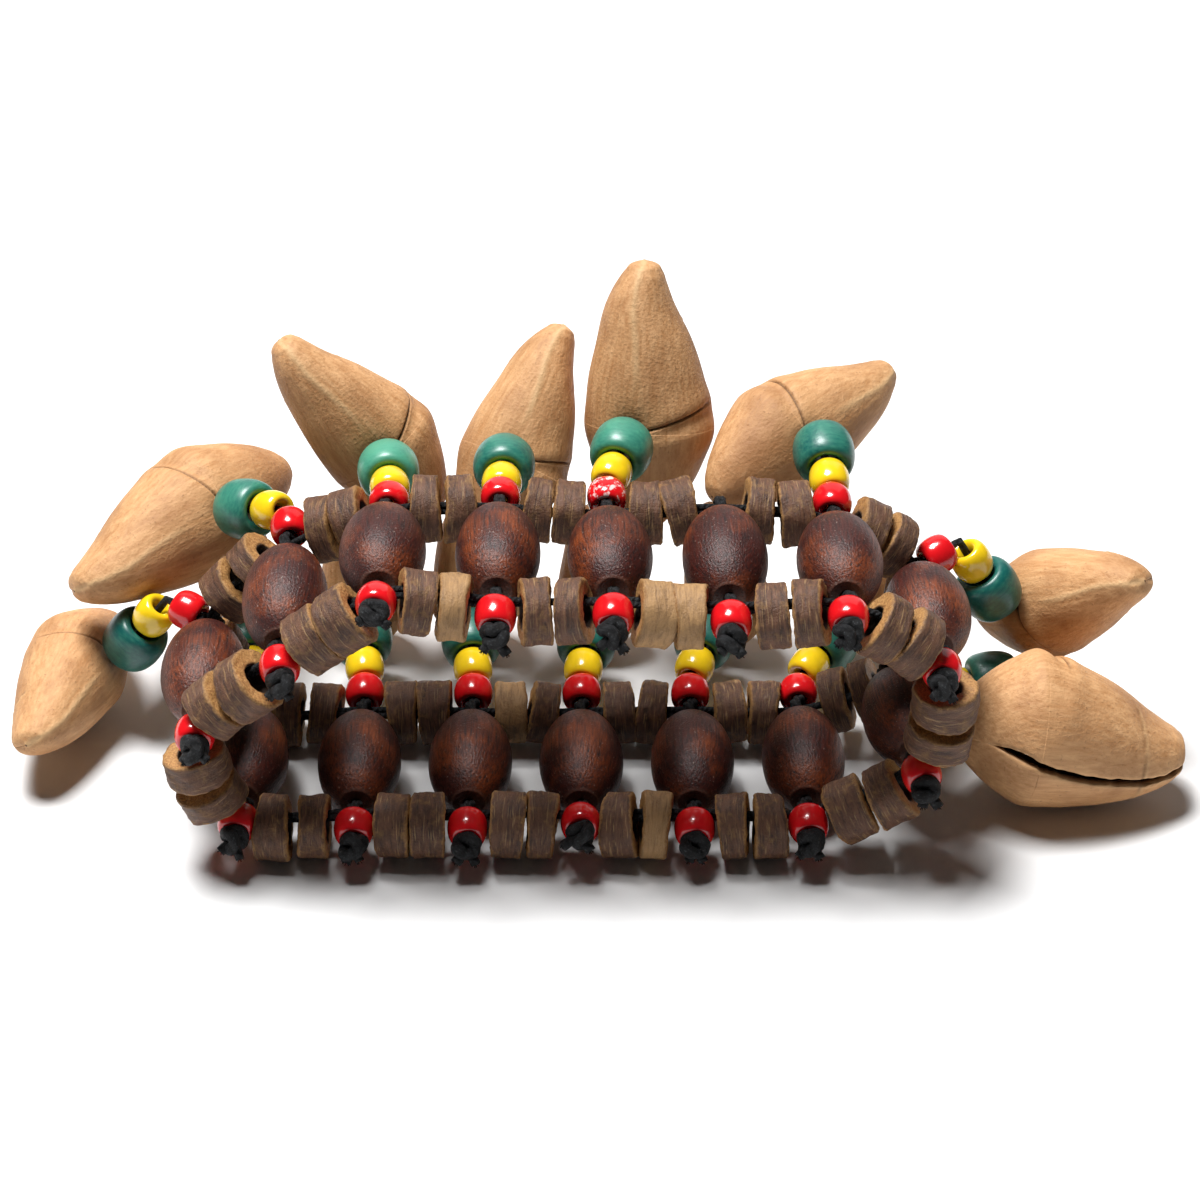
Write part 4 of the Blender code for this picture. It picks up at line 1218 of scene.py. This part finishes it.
class BRACELET_OT_nutshells(bpy.types.Operator):
    """Hollow nutshells, each split along its mouth and creased at the shoulder"""

    bl_idname = "bracelet.nutshells"
    bl_label = "Nutshells"

    def execute(self, context):
        rear = crossings()[1]
        for index, lay in enumerate(LAYS):
            if not lay.nut:
                continue
            number = index + 1
            _, into, _, _, _, _, tie = drop_places(rear[index], lay, route_point(rear, index)[1])
            upright = square_to(UP, into)
            roll = math.radians(lay.nut.roll)
            beak = upright * math.cos(roll) + into.cross(upright) * math.sin(roll)
            shell = self.shell(context.scene.bracelet_nuts, number, lay.nut, frame_at(tie, beak, into))
            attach(shell, f"nut_{number:02d}")
            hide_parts(f"nutshell_{number:02d}")
        return {"FINISHED"}

    def shell(self, nuts, number, nut, place):
        """One shell in millimetres about its tie hole: an outer and an inner skin, open along the mouth."""
        girth = nut.share * nut.girth * nuts.snug / 2 / MM
        wide, deep = nuts.width * girth, nuts.depth * girth
        beak = nuts.beak * nut.share / MM
        heights, along = nut_sections(nuts, nut)
        stations, *shares = np.array(NUT_OUTLINE).T
        half_wide, half_deep, middle = (eased(along, stations, share_of)[:, None] for share_of in shares)
        half_wide, half_deep, middle = half_wide * wide, half_deep * deep, middle * wide * nut.side
        open_share, gap = nut_mouth(nut, number, heights, along, half_wide[:, 0])
        gap = gap[:, None]
        # The mouth's line wanders by up to 0.12 radians, on each nut in its own way.
        drift = 0.12 * np.sin(2.8 * along + 0.7 * number)[:, None]
        columns = 100
        turn = np.linspace(0.0, 1.0, columns)[None, :]
        angle = math.pi / 2 + drift + gap + (2 * math.pi - 2 * gap) * turn
        cosine, sine = np.cos(angle), np.sin(angle)
        x, y = cosine * half_wide + middle, sine * half_deep
        level = np.repeat(heights[:, None], columns, 1)
        # Toward tells the shoulder's side, near the tie hole's half and far the mouth's half.
        toward = np.clip(x * nut.side / np.maximum(half_wide, 0.3), -1.0, 1.2)
        near, far = smooth(-sine, -0.2, 0.25), smooth(sine, -0.2, 0.2)
        # On a nut of full size the crease climbs 2.6 mm to the shoulder, and falls 0.4 mm on the other side.
        rise = 2.6 * np.maximum(toward, 0.0) ** 1.3 - 0.4 * np.maximum(-toward, 0.0)
        from_crease = level - rise * nut.share
        shoulder = bell(from_crease - 0.9, 1.5) * smooth(toward, 0.2, 0.9) * SHOULDER_HEIGHT * wide
        dip = bell(from_crease + 0.9, 1.1) * smooth(toward, 0.1, 0.8) * DIP_DEPTH * wide * near
        crease = bell(from_crease, CREASE_WIDTH) * smooth(toward, -0.25, 0.05) * near
        from_line = level - nuts.growth_line * beak * (1 + 0.12 * sine)
        line = bell(from_line, LINE_WIDTH) * far
        ridge = bell(from_line - 0.36, RIDGE_WIDTH) * far
        seam = bell(cosine * half_wide, SEAM_WIDTH) * near * smooth(along, 0.2, 0.4)[:, None]
        lips = bell(np.cos(angle - drift) * half_wide, LIP_WIDTH) * far * open_share[:, None]
        tie_hole = np.exp(-(x**2 + level**2) / TIE_SPREAD) * near
        bulge = shoulder - dip - CREASE_DEPTH * crease - LINE_DEPTH * line
        bulge = bulge + RIDGE_HEIGHT * ridge + SEAM_HEIGHT * seam - TIE_DEPTH * tie_hole
        fade = smooth(along, -1.0, -0.8) * (1 - smooth(along, 0.85, 1.0))
        bulge += husk_roughness(x, y, level, number) * fade[:, None]
        notch = bell(cosine * half_wide, NOTCH_WIDTH) * smooth(along, 0.93, 1.0)[:, None]
        notch *= np.minimum(half_wide / 1.5, 1.0)
        steep = np.stack((cosine / np.maximum(half_wide, 0.2), sine / np.maximum(half_deep, 0.2)))
        steep /= np.linalg.norm(steep, axis=0)
        tops = level - NOTCH_DEPTH * notch
        outer = np.stack((x + steep[0] * bulge, y + steep[1] * bulge + deep, tops), -1)
        wall = np.minimum(nuts.wall / MM, 0.55 * np.minimum(half_wide, half_deep))
        inner = np.stack((outer[..., 0] - steep[0] * wall, outer[..., 1] - steep[1] * wall, tops), -1)
        local = np.concatenate((outer.reshape(-1, 3), inner.reshape(-1, 3)))
        matrix = np.array(place)
        points = (local * MM) @ matrix[:3, :3].T + matrix[:3, 3]
        mould = Mould()
        mould.add(points, nut_faces(*x.shape), local, nut.husk)
        shell = mould.cast(f"nut_husk_{number:02d}", "dried_nut_husk")
        # Marks hold painted shade for the crease, the tie dimple and the growth line, the pale seam and the
        # brown inside for the husk's material.
        marks = np.zeros((2, *x.shape, 3))
        # Painted shade: dark in the crease, the tie dimple and the growth line.
        marks[0, ..., 0] = np.clip(0.8 * crease + tie_hole**3 + 0.4 * line, 0, 1)
        marks[0, ..., 1] = np.clip(0.6 * seam + 0.5 * lips + 0.35 * ridge, 0, 1)
        marks[1, ..., 2] = 1.0
        data = shell.data.attributes.new("marks", "FLOAT_VECTOR", "POINT").data
        data.foreach_set("vector", marks.ravel())
        return shell


class BRACELET_OT_stage(bpy.types.Operator):
    """White paper, soft studio light and the camera"""

    bl_idname = "bracelet.stage"
    bl_label = "Stage"

    def execute(self, context):
        scene, stage = context.scene, context.scene.bracelet_stage
        target = Vector(stage.target)
        lens = bpy.data.cameras.new("camera")
        lens.lens, lens.sensor_width, lens.clip_start = stage.lens, 36.0, 0.01
        look = Vector((0.0, math.cos(stage.elevation), -math.sin(stage.elevation)))
        scene.camera = self.aimed("camera", lens, target - look * stage.distance, look)
        paper, _ = new_material("white_paper")
        sheet = {"Base Color": paint(stage.floor), "Roughness": 0.9}
        feed(paper.node_tree, paper.node_tree.nodes["Principled BSDF"], sheet)
        mesh = bpy.data.meshes.new("studio_floor")
        mesh.from_pydata([(-4, -4, 0), (4, -4, 0), (4, 4, 0), (-4, 4, 0)], [], [(0, 1, 2, 3)])
        mesh.materials.append(paper)
        floor = bpy.data.objects.new("studio_floor", mesh)
        scene.collection.objects.link(floor)
        for name, spot, size, power in (
            ("key_light", (-0.20, 0.13, 0.95), 0.36, 18.5),
            ("back_light", (0.10, 0.95, 0.42), 1.10, 2.2),
        ):
            lamp = bpy.data.lights.new(name, "AREA")
            lamp.energy, lamp.size = power, size
            self.aimed(name, lamp, Vector(spot), target - Vector(spot))
        scene.world = bpy.data.worlds.new("studio_air")
        scene.world.use_nodes = True
        air = {"Color": (1.0, 1.0, 1.0, 1.0), "Strength": 0.03}
        feed(scene.world.node_tree, scene.world.node_tree.nodes["Background"], air)
        scene.view_settings.view_transform = "Standard"
        return {"FINISHED"}

    def aimed(self, name, data, spot, look):
        """A camera or light at a spot, turned to look along a way."""
        made = bpy.data.objects.new(name, data)
        made.location = spot
        made.rotation_euler = look.to_track_quat("-Z", "Y").to_euler()
        bpy.context.scene.collection.objects.link(made)
        return made


class BRACELET_PT_sidebar(bpy.types.Panel):
    """Lists the pieces of the bracelet"""

    bl_idname = "BRACELET_PT_sidebar"
    bl_label = "Shaker bracelet"
    bl_space_type = "VIEW_3D"
    bl_region_type = "UI"
    bl_category = "Bracelet"

    def draw(self, context):
        for operator in OPERATORS:
            self.layout.operator(operator.bl_idname)
        for group in GROUPS:
            settings = getattr(context.scene, group)
            box = self.layout.box()
            for label in settings.__annotations__:
                box.prop(settings, label)


GROUPS = {
    "bracelet_band": BandLooks,
    "bracelet_drops": DropLooks,
    "bracelet_nuts": NutLooks,
    "bracelet_stage": StageLooks,
}
OPERATORS = (
    BRACELET_OT_stage,
    BRACELET_OT_elastics,
    BRACELET_OT_coconut_rings,
    BRACELET_OT_strand_ties,
    BRACELET_OT_oval_beads,
    BRACELET_OT_bead_drops,
    BRACELET_OT_nutshells,
)


def register():
    for made in (*GROUPS.values(), *OPERATORS, BRACELET_PT_sidebar):
        bpy.utils.register_class(made)
    for name, group in GROUPS.items():
        setattr(bpy.types.Scene, name, PointerProperty(type=group))


def unregister():
    for name in GROUPS:
        delattr(bpy.types.Scene, name)
    for made in (BRACELET_PT_sidebar, *reversed(OPERATORS), *reversed(GROUPS.values())):
        bpy.utils.unregister_class(made)


def main():
    register()
    for operator in OPERATORS:
        group, name = operator.bl_idname.split(".")
        getattr(getattr(bpy.ops, group), name)()


if __name__ == "__main__":
    main()
